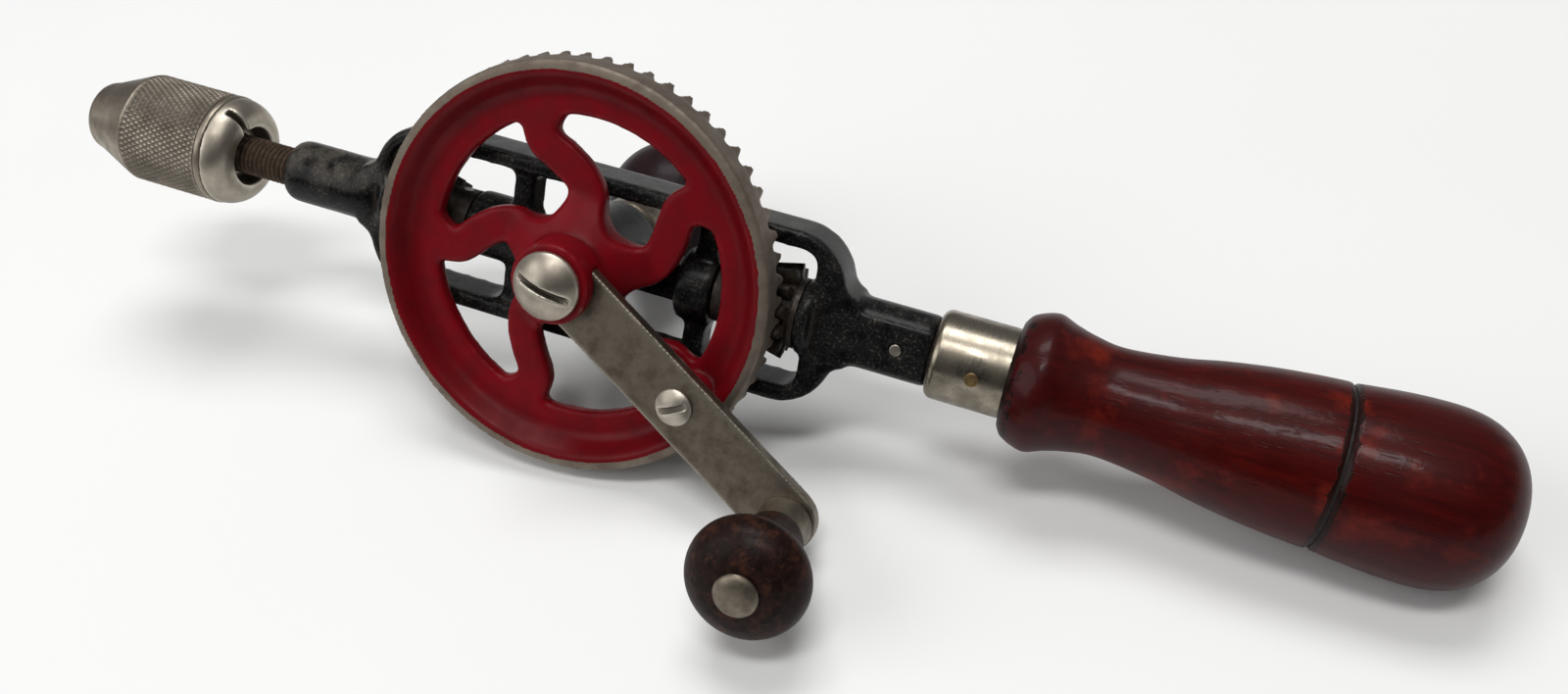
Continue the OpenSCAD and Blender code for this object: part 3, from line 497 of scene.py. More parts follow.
@dataclass(frozen=True)
class Sheet:
    """A node tree in the making. Its methods add a node and give the node's output."""

    tree: bpy.types.NodeTree

    @classmethod
    def of(cls, holder: Any) -> "Sheet":
        """The emptied tree of a new material or world."""
        holder.use_nodes = True
        holder.node_tree.nodes.clear()
        return cls(holder.node_tree)

    def out(self, kind: str, links: Optional[dict[Any, Any]] = None, socket: Any = 0, **settings: Any) -> Any:
        """One output, by number or name, of a node of any kind."""
        return put(self.tree, kind, links, **settings).outputs[socket]

    def drill_coordinates(self, axes: DrillAxes) -> Any:
        """Object coordinates turned to the drill's axes, in metres."""
        back = Matrix(axes.turn.T.tolist()).to_euler()
        shift = (-(axes.turn.T @ axes.origin)).tolist()
        at = self.out("TexCoord", socket="Object")
        return self.out("Mapping", {"Vector": at, "Rotation": back, "Location": shift})

    def drawn(self, at: Any, stretch: Triple) -> Any:
        """Coordinates on which a pattern is drawn out along some axes."""
        return self.out("Mapping", {"Vector": at, "Scale": stretch})

    def noise(self, at: Any, size: float, detail: float = 2.0, rough: float = 0.5, bend: float = 0.0) -> Any:
        """Noise with features of so many millimetres."""
        links = {"Vector": at, "Scale": per_mm(size), "Detail": detail, "Roughness": rough}
        return self.out("TexNoise", {**links, "Distortion": bend})

    def painted(self, name: str) -> Any:
        """A mesh's attribute."""
        return self.out("Attribute", socket="Fac", attribute_name=name)

    def ramp(self, value: Any, ends: Span, top: float = 1.0, foot: float = 0.0, curve: str = "LINEAR") -> Any:
        """A value that rises from foot to top while another goes from the first end to the second."""
        links = {"Value": value, "From Min": ends[0], "From Max": ends[1], "To Min": foot, "To Max": top}
        return self.out("MapRange", links, interpolation_type=curve)

    def times(self, a: Any, b: Any, clamp: bool = False) -> Any:
        """a b, and with clamp held between 0 and 1."""
        return self.out("Math", {0: a, 1: b}, operation="MULTIPLY", use_clamp=clamp)

    def plus(self, base: Any, a: Any, b: Any, clamp: bool = False) -> Any:
        """base + a b, and with clamp held between 0 and 1."""
        return self.out("Math", {0: a, 1: b, 2: base}, operation="MULTIPLY_ADD", use_clamp=clamp)

    def mix(self, share: Any, under: Any, over: Any) -> Any:
        """A share of one colour over another, each a hex value or an output."""
        under, over = (linear(part) if isinstance(part, str) else part for part in (under, over))
        return self.out("Mix", {0: share, 6: under, 7: over}, 2, data_type="RGBA")

    def bump(self, height: Any, strength: float, depth: float, **onto: Any) -> Any:
        """Normal of a relief of so many millimetres, on top of another if Normal is given."""
        return self.out("Bump", {"Height": height, "Strength": strength, "Distance": depth * MM, **onto})


@dataclass(frozen=True)
class Finish:
    """A real material, and the slot that it fills."""

    name: str
    slot: Slot

    def inputs(self, sheet: Sheet, at: Any) -> dict[str, Any]:
        """What the shader's inputs take.

        Args:
            sheet: the material's node tree.
            at: coordinates on the drill's axes.

        Returns:
            Outputs or values, by the name of the input.
        """
        raise NotImplementedError

    def build(self, axes: DrillAxes) -> bpy.types.Material:
        """The material."""
        made = bpy.data.materials.new(self.name)
        sheet = Sheet.of(made)
        shader = sheet.out("BsdfPrincipled", self.inputs(sheet, sheet.drill_coordinates(axes)))
        put(sheet.tree, "OutputMaterial", {"Surface": shader})
        return made


@dataclass(frozen=True)
class Metal(Finish):
    """A bare or plated metal: fine lines from tools and wiping, cloudy tarnish, dirt in what lies low."""

    bright: str
    dull: str
    dirt: str
    rough: Span
    cloud_mm: float
    line_mm: float = 0.25
    stretch: Triple = (1.0, 1.0, 1.0)
    line_depth: float = 0.05
    dirt_share: float = 0.8
    metallic: float = 1.0
    rubbed: str = "#c2bbae"
    tarnish_ends: Span = (0.38, 0.66)
    ragged: Span = (0.55, 0.7)
    line_rough: float = 0.16
    dirt_rough: float = 0.3

    def inputs(self, sheet: Sheet, at: Any) -> dict[str, Any]:
        """Colour and roughness follow the tarnish, edges are rubbed bright, and dirt isn't metallic."""
        tarnish = sheet.ramp(sheet.noise(at, self.cloud_mm, detail=6.0, rough=0.62), self.tarnish_ends)
        lines = sheet.noise(sheet.drawn(at, self.stretch), self.line_mm, detail=3.0)
        ragged = sheet.plus(self.ragged[0], lines, self.ragged[1])
        dirt = sheet.times(sheet.times(sheet.painted("hollow"), ragged), self.dirt_share, clamp=True)
        plate = sheet.mix(tarnish, self.bright, self.dull)
        plate = sheet.mix(sheet.painted("proud"), plate, self.rubbed)
        gloss = sheet.plus(self.rough[0], tarnish, self.rough[1] - self.rough[0])
        gloss = sheet.plus(gloss, lines, self.line_rough)
        return {
            "Base Color": sheet.mix(dirt, plate, self.dirt),
            "Roughness": sheet.plus(gloss, dirt, self.dirt_rough, clamp=True),
            "Metallic": sheet.plus(self.metallic, dirt, -self.metallic),
            "Normal": sheet.bump(lines, strength=0.5, depth=self.line_depth),
        }


@dataclass(frozen=True)
class Paint(Finish):
    """Enamel on cast iron: an uneven glossy coat, dust, dirt in the corners with painted shade where the hollow
    attribute carries it, iron where it is worn.
    """

    coat: str
    shade: str
    dust: str
    dirt: str
    iron: str
    rough: float
    mottle_mm: float
    dust_share: float
    wear: float
    peel_depth: float
    specular: float
    rust_share: float
    speck_mm: float = 0.6
    mottle_ends: Span = (0.35, 0.68)
    dust_ends: Span = (0.54, 0.72)
    chip_ends: Span = (0.42, 0.6)
    film_share: float = 0.45
    corner_share: float = 0.75
    broken: Span = (-0.55, 1.1)
    mottle_rough: float = 0.14
    dust_rough: float = 0.5
    iron_rough: float = 0.2
    iron_metallic: float = 0.85
    chip_depth: float = 0.6

    def inputs(self, sheet: Sheet, at: Any) -> dict[str, Any]:
        """Dust lies in specks and, where the attribute settled says so, as a film. Iron shows where the
        attributes bare and proud, broken by noise, pass a limit."""
        mottle = sheet.noise(at, self.mottle_mm, detail=7.0, rough=0.6)
        even = sheet.ramp(mottle, self.mottle_ends)
        specks = sheet.ramp(sheet.noise(at, self.speck_mm), self.dust_ends, self.dust_share)
        dusty = sheet.times(specks, even)
        film = sheet.times(sheet.times(sheet.painted("settled"), self.film_share), even)
        # Darkens toward the dirt colour where the hollow attribute says so: dirt in the corners, and on the wheel
        # also painted shade on the rim's inner slope.
        corner = sheet.times(sheet.painted("hollow"), self.corner_share)
        coat = sheet.mix(even, self.coat, self.shade)
        for share, code in ((dusty, self.dust), (film, self.dust), (corner, self.dirt)):
            coat = sheet.mix(share, coat, code)
        worn = sheet.plus(self.broken[0], mottle, self.broken[1])
        worn = sheet.plus(worn, sheet.painted("proud"), self.wear)
        worn = sheet.plus(worn, sheet.painted("bare"), 1.0)
        chip = sheet.ramp(worn, self.chip_ends)
        rust = sheet.mix(sheet.times(even, self.rust_share), self.iron, self.dirt)
        gloss = sheet.plus(self.rough, even, self.mottle_rough)
        gloss = sheet.plus(gloss, dusty, self.dust_rough)
        height = sheet.plus(mottle, chip, -self.chip_depth)
        return {
            "Base Color": sheet.mix(chip, coat, rust),
            "Roughness": sheet.plus(gloss, chip, self.iron_rough, clamp=True),
            "Metallic": sheet.times(chip, self.iron_metallic),
            "Normal": sheet.bump(height, strength=0.6, depth=self.peel_depth),
            "Specular IOR Level": self.specular,
        }


@dataclass(frozen=True)
class Wood(Finish):
    """Turned hardwood under stain and varnish: streaks along the grain, short dark pores, worn patches."""

    dark: str
    middle: str
    light: str
    worn: str
    bloom: str
    stretch: Triple
    streak_mm: float
    pore_mm: float
    cloud_mm: float
    worn_from: float
    rough: float
    coat: float
    coat_rough: float
    pore_depth: float
    bloom_share: float
    sway_depth: float
    flake: str = "#140705"
    flake_mm: float = 2.2
    sway_mm: float = 6.0
    grain_places: Triple = (0.32, 0.52, 0.72)
    worn_width: float = 0.14
    worn_share: float = 0.85
    pore_ends: Span = (0.6, 0.72)
    pore_share: float = 0.7
    bloom_times: float = 2.2
    bloom_ends: Span = (0.42, 0.62)
    flake_push: float = 0.5
    flake_ends: Span = (0.84, 0.87)
    flake_share: float = 0.9
    flake_height: float = 1.5
    cloud_rough: Span = (-0.12, 0.25)
    specular: float = 0.08

    def inputs(self, sheet: Sheet, at: Any) -> dict[str, Any]:
        """A ramp over stretched noise, patches of worn stain, a dull bloom in broad patches, pores as
        fine grooves, and ragged black flakes where the attribute flaked says so."""
        drawn = sheet.drawn(at, self.stretch)
        streak = sheet.noise(drawn, self.streak_mm, detail=6.0, rough=0.62, bend=0.35)
        cloud = sheet.noise(at, self.cloud_mm, detail=5.0, rough=0.6)
        broad = sheet.noise(at, self.bloom_times * self.cloud_mm, detail=4.0, rough=0.55)
        ragged = sheet.noise(at, self.flake_mm, detail=6.0, rough=0.6)
        rubbed = sheet.ramp(cloud, (self.worn_from, self.worn_from + self.worn_width), self.worn_share)
        pit = sheet.ramp(sheet.noise(drawn, self.pore_mm), self.pore_ends, self.pore_share)
        haze = sheet.ramp(broad, self.bloom_ends, self.bloom_share)
        ragged = sheet.plus(ragged, sheet.painted("flaked"), self.flake_push)
        flake = sheet.ramp(ragged, self.flake_ends, self.flake_share)
        stops = list(zip(self.grain_places, (self.dark, self.middle, self.light)))
        colour = sheet.out("ValToRGB", {"Fac": streak}, stops=stops)
        for share, code in ((rubbed, self.worn), (haze, self.bloom), (pit, self.dark), (flake, self.flake)):
            colour = sheet.mix(share, colour, code)
        height = sheet.plus(sheet.plus(streak, pit, -1.0), flake, self.flake_height)
        relief = sheet.bump(height, strength=0.5, depth=self.pore_depth)
        sway = sheet.noise(at, self.sway_mm, detail=3.0)
        return {
            "Base Color": colour,
            "Roughness": sheet.plus(self.rough + self.cloud_rough[0], cloud, self.cloud_rough[1]),
            "Normal": relief,
            "Coat Normal": sheet.bump(sway, strength=1.0, depth=self.sway_depth, Normal=relief),
            "Specular IOR Level": self.specular,
            "Coat Weight": self.coat,
            "Coat Roughness": self.coat_rough,
        }


ALONG_X = (0.06, 1.0, 1.0)
ALONG_Y = (1.0, 0.08, 1.0)
ALONG_ARM = (0.25, 1.0, 0.4)
AROUND_X = (1.0, 0.12, 0.12)

FINISHES: tuple[Finish, ...] = (
    # Baked black varnish on cast iron: deep gloss, grey dust, edges rubbed to the iron
    Paint(
        "black_japan_on_cast_iron", Slot.JAPAN, coat="#090a0b", shade="#1c1c1d", dust="#776f64",
        dirt="#2a221b", iron="#6f6a62", rough=0.22, mottle_mm=5.0, dust_share=0.6, wear=0.5,
        peel_depth=0.06, specular=0.13, rust_share=0.7,
    ),
    # Brushed red enamel on cast iron: cherry red, darker in the corners with dirt and painted shade, painted shade
    # on the rim's inner slope, iron at rim and teeth
    Paint(
        "red_enamel_on_cast_iron", Slot.ENAMEL, coat="#780814", shade="#640610", dust="#83292c",
        # its dirt colour also paints shade in the corners and on the rim's inner slope
        dirt="#300607", iron="#857b6f", rough=0.33, mottle_mm=6.0, dust_share=0.2, wear=0.34,
        peel_depth=0.05, specular=0.12, rust_share=0.35,
    ),
    # Nickel plate gone yellow-grey with age: wiped lines along the arm, cloudy tarnish
    Metal(
        "tarnished_nickel_plate", Slot.NICKEL, bright="#837a6d", dull="#5c5449", dirt="#221c16",
        rough=(0.3, 0.46), cloud_mm=4.0, line_mm=0.3, stretch=ALONG_ARM, line_depth=0.03,
        rubbed="#8f887c",
    ),
    # Polished nickel plate: mirror-like, faint scratches round the sleeve
    Metal(
        "polished_nickel_plate", Slot.BRIGHT, bright="#989082", dull="#777063", dirt="#2b241c",
        rough=(0.15, 0.3), cloud_mm=5.0, stretch=AROUND_X, line_depth=0.015,
    ),
    # Turned and plated steel of the chuck: grey, lines round the axis, dirt in the knurl
    Metal(
        "turned_nickelled_steel", Slot.CHUCK, bright="#988f82", dull="#776e62", dirt="#281f16",
        rough=(0.3, 0.42), cloud_mm=5.0, stretch=AROUND_X, line_depth=0.02, dirt_share=0.75,
    ),
    # Drawn mild steel: dull grey with brown spots
    Metal(
        "drawn_mild_steel", Slot.STEEL, bright="#a29c92", dull="#7a7267", dirt="#2e2720",
        rough=(0.3, 0.5), cloud_mm=2.5, line_mm=0.3,
    ),
    # Cut steel gears under old grease: brown-black film with bright flanks
    Metal(
        "greasy_cut_steel", Slot.GREASY, bright="#3c332a", dull="#1b1510", dirt="#100c09",
        rough=(0.42, 0.62), cloud_mm=1.6, line_mm=0.3, metallic=0.4, rubbed="#5d5346",
    ),
    # Threaded steel gone brown with rust: matt, dark in the grooves
    Metal(
        "rusted_steel_thread", Slot.RUSTY, bright="#5b4531", dull="#3a2c1e", dirt="#19120b",
        rough=(0.55, 0.75), cloud_mm=1.2, dirt_share=0.9, metallic=0.35,
    ),
    # Drawn brass gone dull: warm brown-yellow
    Metal(
        "dull_brass", Slot.BRASS, bright="#8c7750", dull="#625138", dirt="#2b1f12",
        rough=(0.32, 0.5), cloud_mm=1.2,
    ),
    # Vulcanised fibre: matt black sheet with a paper grain
    Metal(
        "vulcanised_fibre", Slot.FIBRE, bright="#1b1412", dull="#120d0b", dirt="#0a0706",
        rough=(0.6, 0.75), cloud_mm=1.5, line_mm=0.3, metallic=0.0,
    ),
    # Beech stained red-brown under varnish: long streaks, clear gloss, orange where rubbed
    Wood(
        "red_stained_beech", Slot.RED_WOOD, dark="#300302", middle="#3d0503", light="#4b0a05",
        worn="#6e1c0d", bloom="#331014", stretch=ALONG_X, streak_mm=1.6, pore_mm=0.55, cloud_mm=14.0,
        worn_from=0.55, rough=0.4, coat=0.11, coat_rough=0.12, pore_depth=0.07, bloom_share=0.45,
        sway_depth=0.16,
    ),
    # Dark stained hardwood, handled and chipped: near black, brown where the finish is gone
    Wood(
        "dark_stained_hardwood", Slot.DARK_WOOD, dark="#110807", middle="#20110d", light="#2f1a14",
        worn="#43261a", bloom="#1f1414", stretch=ALONG_Y, streak_mm=1.0, pore_mm=0.5, cloud_mm=3.0,
        worn_from=0.51, rough=0.5, coat=0.08, coat_rough=0.25, pore_depth=0.12, bloom_share=0.35,
        sway_depth=0.1,
    ),
    # Plum stained hardwood under varnish: violet-brown, even, glossy
    Wood(
        "plum_stained_hardwood", Slot.PLUM_WOOD, dark="#140a0d", middle="#1f1014", light="#2b171c",
        worn="#331d21", bloom="#2c1c20", stretch=ALONG_Y, streak_mm=1.4, pore_mm=0.5, cloud_mm=9.0,
        worn_from=0.62, rough=0.42, coat=0.1, coat_rough=0.25, pore_depth=0.03, bloom_share=0.5,
        sway_depth=0.1,
    ),
)


# Sub-assemblies


@dataclass
class Chuck:
    """Three jaw chuck: plain nose, diamond knurled grip, bead, domed back, jaws."""

    shop: Workshop
    nose_x: float = 136.7
    nose_r: float = 8.7
    nose_edge: float = 2.6
    mouth_r: float = 5.6
    mouth_l: float = 2.6
    mouth_edge: float = 0.3
    cone_back_x: float = 117.79
    hollow_r: float = 10.9
    chuck_r: float = 13.5
    grip_front_x: float = 122.4
    grip_back_x: float = 101.2
    grip_edge: float = 0.3
    bead_l: float = 1.7
    bead_foot: float = 0.2
    bead_h: float = 0.24
    knurl_starts: int = 62
    knurl_samples: int = 6
    knurl_lean_deg: float = 32.0
    knurl_depth: float = 0.42
    knurl_flat: float = 0.75
    knurl_row: float = 0.2
    knurl_fade: float = 0.8

    def shell(self) -> None:
        """Nose and grip in one. On the grip the radius is R - depth (1 - h), where h is the smaller of
        two triangle waves that run round the grip along left and right helices."""
        front, back, tip, e = -self.grip_front_x, -self.grip_back_x, -self.nose_x, self.nose_edge
        nose = arc((tip + e, self.nose_r - e), (e, e), (0.0, 90.0), 8)
        plain = [[front - self.grip_edge, self.chuck_r - 0.09]]
        grip_t = np.arange(front, back, self.knurl_row)
        grip = np.column_stack([grip_t, np.full(len(grip_t), self.chuck_r)])
        inside = [
            [back, self.chuck_r - 0.1], [back, self.hollow_r], [-self.cone_back_x, self.hollow_r],
            [tip + self.mouth_l, self.mouth_r], [tip + self.mouth_edge, self.mouth_r],
            [tip, self.mouth_r + self.mouth_edge],
        ]
        outline = np.vstack([nose, plain, grip, inside])
        around = self.knurl_starts * self.knurl_samples
        turn = np.arange(around)[None, :] / around * self.knurl_starts
        lead = math.tan(math.radians(self.knurl_lean_deg)) * self.knurl_starts
        climb = (grip_t[:, None] / (2.0 * np.pi * self.chuck_r)) * lead
        peak = np.minimum(saw(turn + climb), saw(turn - climb))
        peak = np.minimum(peak / self.knurl_flat, 1.0)
        fade = ease((grip_t - front) / self.knurl_fade) * ease((back - grip_t) / self.knurl_fade)
        sunk = (1.0 - peak) * fade[:, None]
        cut = {"sunk": sunk, "first": len(nose) + len(plain), "depth": self.knurl_depth}
        self.shop.turned("chuck_shell", Slot.CHUCK, outline, around, ring=True, **cut)

    def bead(self) -> None:
        """Half round ring behind the grip."""
        start, half = -self.grip_back_x, self.bead_l / 2
        middle = (start + half, self.chuck_r - self.bead_foot)
        crest = arc(middle, (half, self.bead_h), (0.0, 180.0), 13)
        inner = [[start + self.bead_l, self.hollow_r], [start, self.hollow_r]]
        self.shop.turned("chuck_bead", Slot.CHUCK, np.vstack([crest, inner]), 144, ring=True)

    def build(self) -> None:
        """All of the chuck."""
        self.shell()
        self.bead()
        self.shop.softened("chuck_back", Slot.CHUCK, 0.28, 5)
        self.shop.dress(Slot.STEEL, "jaw_1", "jaw_2", "jaw_3")


@dataclass
class SpindleLine:
    """Spindle with its screwed front end, both pinions, their pin and washers."""

    shop: Workshop
    front_x: float = 110.0
    front_edge: float = 0.7
    thread_x: float = 109.4
    thread_end_x: float = 80.6
    step_x: float = 31.3
    rear_x: float = 17.6
    rear_edge: float = 0.4
    spindle_r: float = 4.76
    journal_r: float = 3.8
    pitch: float = 1.27
    pitch_rows: int = 9
    thread_depth: float = 0.55
    thread_cut: Span = (-0.1, 1.25)
    around: int = 64

    def spindle(self) -> None:
        """Spindle whose radius in the thread is r - depth (1 - w), where w is a triangle wave of
        station / pitch + turn, cut flat at crest and root."""
        start, stop, rear, e = -self.thread_x, -self.thread_end_x, -self.rear_x, self.rear_edge
        t = np.arange(start, stop, self.pitch / self.pitch_rows)
        thread = np.column_stack([t, np.full(len(t), self.spindle_r)])
        head = [[-self.front_x, 0.0], [-self.front_x, self.spindle_r - self.front_edge]]
        tail = [
            [stop + 0.5, self.spindle_r], [-self.step_x, self.spindle_r], [-self.step_x, self.journal_r],
            [rear - e, self.journal_r], [rear, self.journal_r - e], [rear, 0.0],
        ]
        outline = np.vstack([head, thread, tail])
        turn = np.arange(self.around)[None, :] / self.around
        wave = saw(t[:, None] / self.pitch + turn) * self.thread_cut[1] + self.thread_cut[0]
        wave = np.clip(wave, 0.0, 1.0)
        sunk = (1.0 - wave) * (ease(t - start) * ease(stop - t))[:, None]
        cut = {"sunk": sunk, "first": len(head) - 1, "depth": self.thread_depth}
        self.shop.turned("spindle", Slot.RUSTY, outline, self.around, **cut)

    def build(self) -> None:
        """The spindle, and the finishes of what is on it."""
        self.spindle()
        self.shop.dress(Slot.GREASY, "spindle_pinion", "idler_pinion", "thrust_washers")
        self.shop.dress(Slot.STEEL, "pinion_pin")


@dataclass
class OpenFrame:
    """Cast frame with its two rails, struts, hub, sleeve and shank, and the pin through the shank."""

    shop: Workshop
    pin_x: float = 74.4
    pin_r: float = 1.4
    pin_y: float = 6.15
    pin_edge: float = 0.35
    voxel: float = 0.52
    rounds: int = 56
    least_free: float = 0.27
    neck: Span = (-62.0, -42.0)
    neck_fade: float = 4.0
    sleeve_in_r: float = 6.4
    dust_x: float = -35.0
    dust_fade: float = 15.0
    least_dust: float = 0.1

    def firm(self, points: Array) -> Array:
        """Lets the neck between sleeve and loop run into a smooth fillet, and the rest soften less."""
        x = points[:, 0]
        along = ease((x - self.neck[0]) / self.neck_fade) * ease((self.neck[1] - x) / self.neck_fade)
        outside = ease(np.hypot(points[:, 1], points[:, 2]) - self.sleeve_in_r)
        return self.least_free + (1.0 - self.least_free) * along * outside

    def build(self) -> None:
        """The casting with soft edges and, as attribute settled, dust on what faces up, most of it on
        the sleeve, then the pin and the rod."""
        casting = self.shop.softened("frame_casting", Slot.JAPAN, self.voxel, self.rounds, self.firm)
        sleeve = ease((self.dust_x - self.shop.points_of(casting)[:, 0]) / self.dust_fade)
        upward = np.clip(rows_of(casting.data, "normal")[:, 2], 0.0, 1.0) ** 2
        tag(casting.data, "settled", upward * (self.least_dust + (1.0 - self.least_dust) * sleeve))
        self.shop.pin("shank_pin", Slot.STEEL, self.pin_x, self.pin_y, self.pin_r, self.pin_edge, 40)
        self.shop.dress(Slot.STEEL, "tang_rod")


@dataclass
class DriveWheel:
    """Cast bevel wheel with five S-curved spokes, and the screw that it turns on."""

    shop: Workshop
    voxel: float = 0.53
    rounds: int = 15
    bare_r: float = 45.5
    bare_blur: float = 0.5
    tooth_in_r: float = 36.6
    tooth_front: float = 9.6
    tooth_blur: float = 0.8
    rim_in_r: float = 40.0
    boss_out_r: float = 10.4
    rim_hold: float = 0.75
    tooth_hold: float = 0.9
    hold_blur: float = 2.0
    hold_reach: float = 2.4
    slope_painted_shade: float = 0.35
    slot_turn: float = 24.7

    def firm(self, points: Array) -> Array:
        """Lets the spokes soften freely, the boss and the rim less, and the teeth hardly."""
        reach, front = np.hypot(points[:, 0], points[:, 2]), -points[:, 1]
        tooth = ease((reach - self.tooth_in_r) / self.hold_blur)
        tooth = tooth * ease((self.tooth_front + self.hold_reach - front) / self.hold_blur)
        rim = ease((reach - self.rim_in_r) / self.hold_blur)
        boss = ease(self.boss_out_r - reach)
        return (1.0 - self.rim_hold * np.maximum(rim, boss)) * (1.0 - self.tooth_hold * tooth)

    def build(self) -> None:
        """The wheel, with the attribute bare for its unpainted rim and teeth and painted shade on the rim's
        slope, and its screw."""
        wheel = self.shop.softened("drive_wheel", Slot.ENAMEL, self.voxel, self.rounds, self.firm)
        points = self.shop.points_of(wheel)
        reach, front = np.hypot(points[:, 0], points[:, 2]), -points[:, 1]
        rim = ease((reach - self.bare_r) / self.bare_blur + 0.5)
        teeth = ease((reach - self.tooth_in_r) / self.tooth_blur)
        teeth = teeth * ease((self.tooth_front - front) / self.tooth_blur + 0.5)
        tag(wheel.data, "bare", np.maximum(rim, teeth))
        # Painted shade: the rim's inner slope is darkened all round, through the hollow attribute and the enamel's
        # dirt colour.
        tag(wheel.data, "hollow", self.slope_painted_shade * ease((reach - self.rim_in_r + 1.0) / 2.0))
        self.shop.softened("axle_screw", Slot.CHUCK, 0.22, 4, slot_turn=(self.slot_turn, 0.0, 0.0))


@dataclass
class Crank:
    """Flat arm with its small screw, collar, rivet and turning wooden knob."""

    shop: Workshop
    throw: float = 73.2
    angle_deg: float = -32.0
    knob_y: float = 31.88
    knob_l: float = 25.5
    knob_r: float = 13.5
    belly_share: float = 0.73
    neck_r: float = 6.8
    bore_r: float = 2.65
    rivet_r: float = 2.6
    rivet_foot: float = 21.7
    head_y: float = 57.68
    head_r: float = 4.85
    head_h: float = 1.9
    screw_x: float = 39.0
    slot_turn: float = 25.0
    flake_r: float = 8.9
    flake_w: float = 2.4
    flake_share: float = 0.7

    def pin(self) -> Span:
        """Drill X and Z of the line that the knob turns about."""
        turn = math.radians(self.angle_deg)
        return self.throw * math.cos(turn), self.throw * math.sin(turn)

    def knob(self) -> None:
        """Turned knob: neck, belly and a rounded face, with its bore. Its varnish has flaked in a ring
        on the face and at the rivet's seat."""
        y, r, neck, pin = self.knob_y, self.knob_r, self.neck_r, self.pin()
        belly, end = y + self.belly_share * self.knob_l, y + self.knob_l
        outer = [
            (y, neck - 0.8), (y + 1.2, neck), (belly - 12.5, neck + 0.6), (belly - 7.5, r - 3.4),
            (belly - 3.2, r - 0.7), (belly, r), (belly + 3.4, r - 1.2), (end - 1.0, r - 4.2),
            (end, self.head_r + 1.6),
        ]
        outline = np.vstack([through(outer, 8), [[end, self.bore_r], [y, self.bore_r]]])
        piece = self.shop.turned("crank_knob", Slot.DARK_WOOD, outline, 120, Line.CRANK_PIN, pin, ring=True)
        points = self.shop.points_of(piece)
        reach = np.hypot(points[:, 0] - pin[0], points[:, 2] - pin[1])
        ring = self.flake_share * ease(1.4 - np.abs(reach - self.flake_r) / self.flake_w)
        seat = ease((self.head_r + 1.5 - reach) / 0.8)
        tag(piece.data, "flaked", np.maximum(ring, seat) * ease((-points[:, 1] - belly) / 2.0))

    def rivet(self) -> None:
        """Rivet with a low rounded head."""
        y, r, foot = self.head_y, self.head_r, self.rivet_foot
        dome = [
            (y, r - 0.2), (y + 0.35, r), (y + 0.8, r - 0.15), (y + 1.35, r - 0.9), (y + 1.72, r - 2.2),
            (y + self.head_h, 0.6),
        ]
        shaft = [[foot, 0.0], [foot, self.rivet_r], [y, self.rivet_r]]
        outline = np.vstack([shaft, through(dome, 5), [[y + self.head_h, 0.0]]])
        self.shop.turned("knob_rivet", Slot.NICKEL, outline, 64, Line.CRANK_PIN, self.pin())

    def build(self) -> None:
        """All of the crank."""
        self.shop.softened("crank_arm", Slot.NICKEL, 0.3, 3)
        reach = np.array(self.pin()) * self.screw_x / self.throw
        self.shop.softened("crank_screw", Slot.CHUCK, 0.16, 3, slot_turn=(self.slot_turn, *reach))
        self.shop.softened("knob_collar", Slot.NICKEL, 0.22, 4)
        self.rivet()
        self.knob()


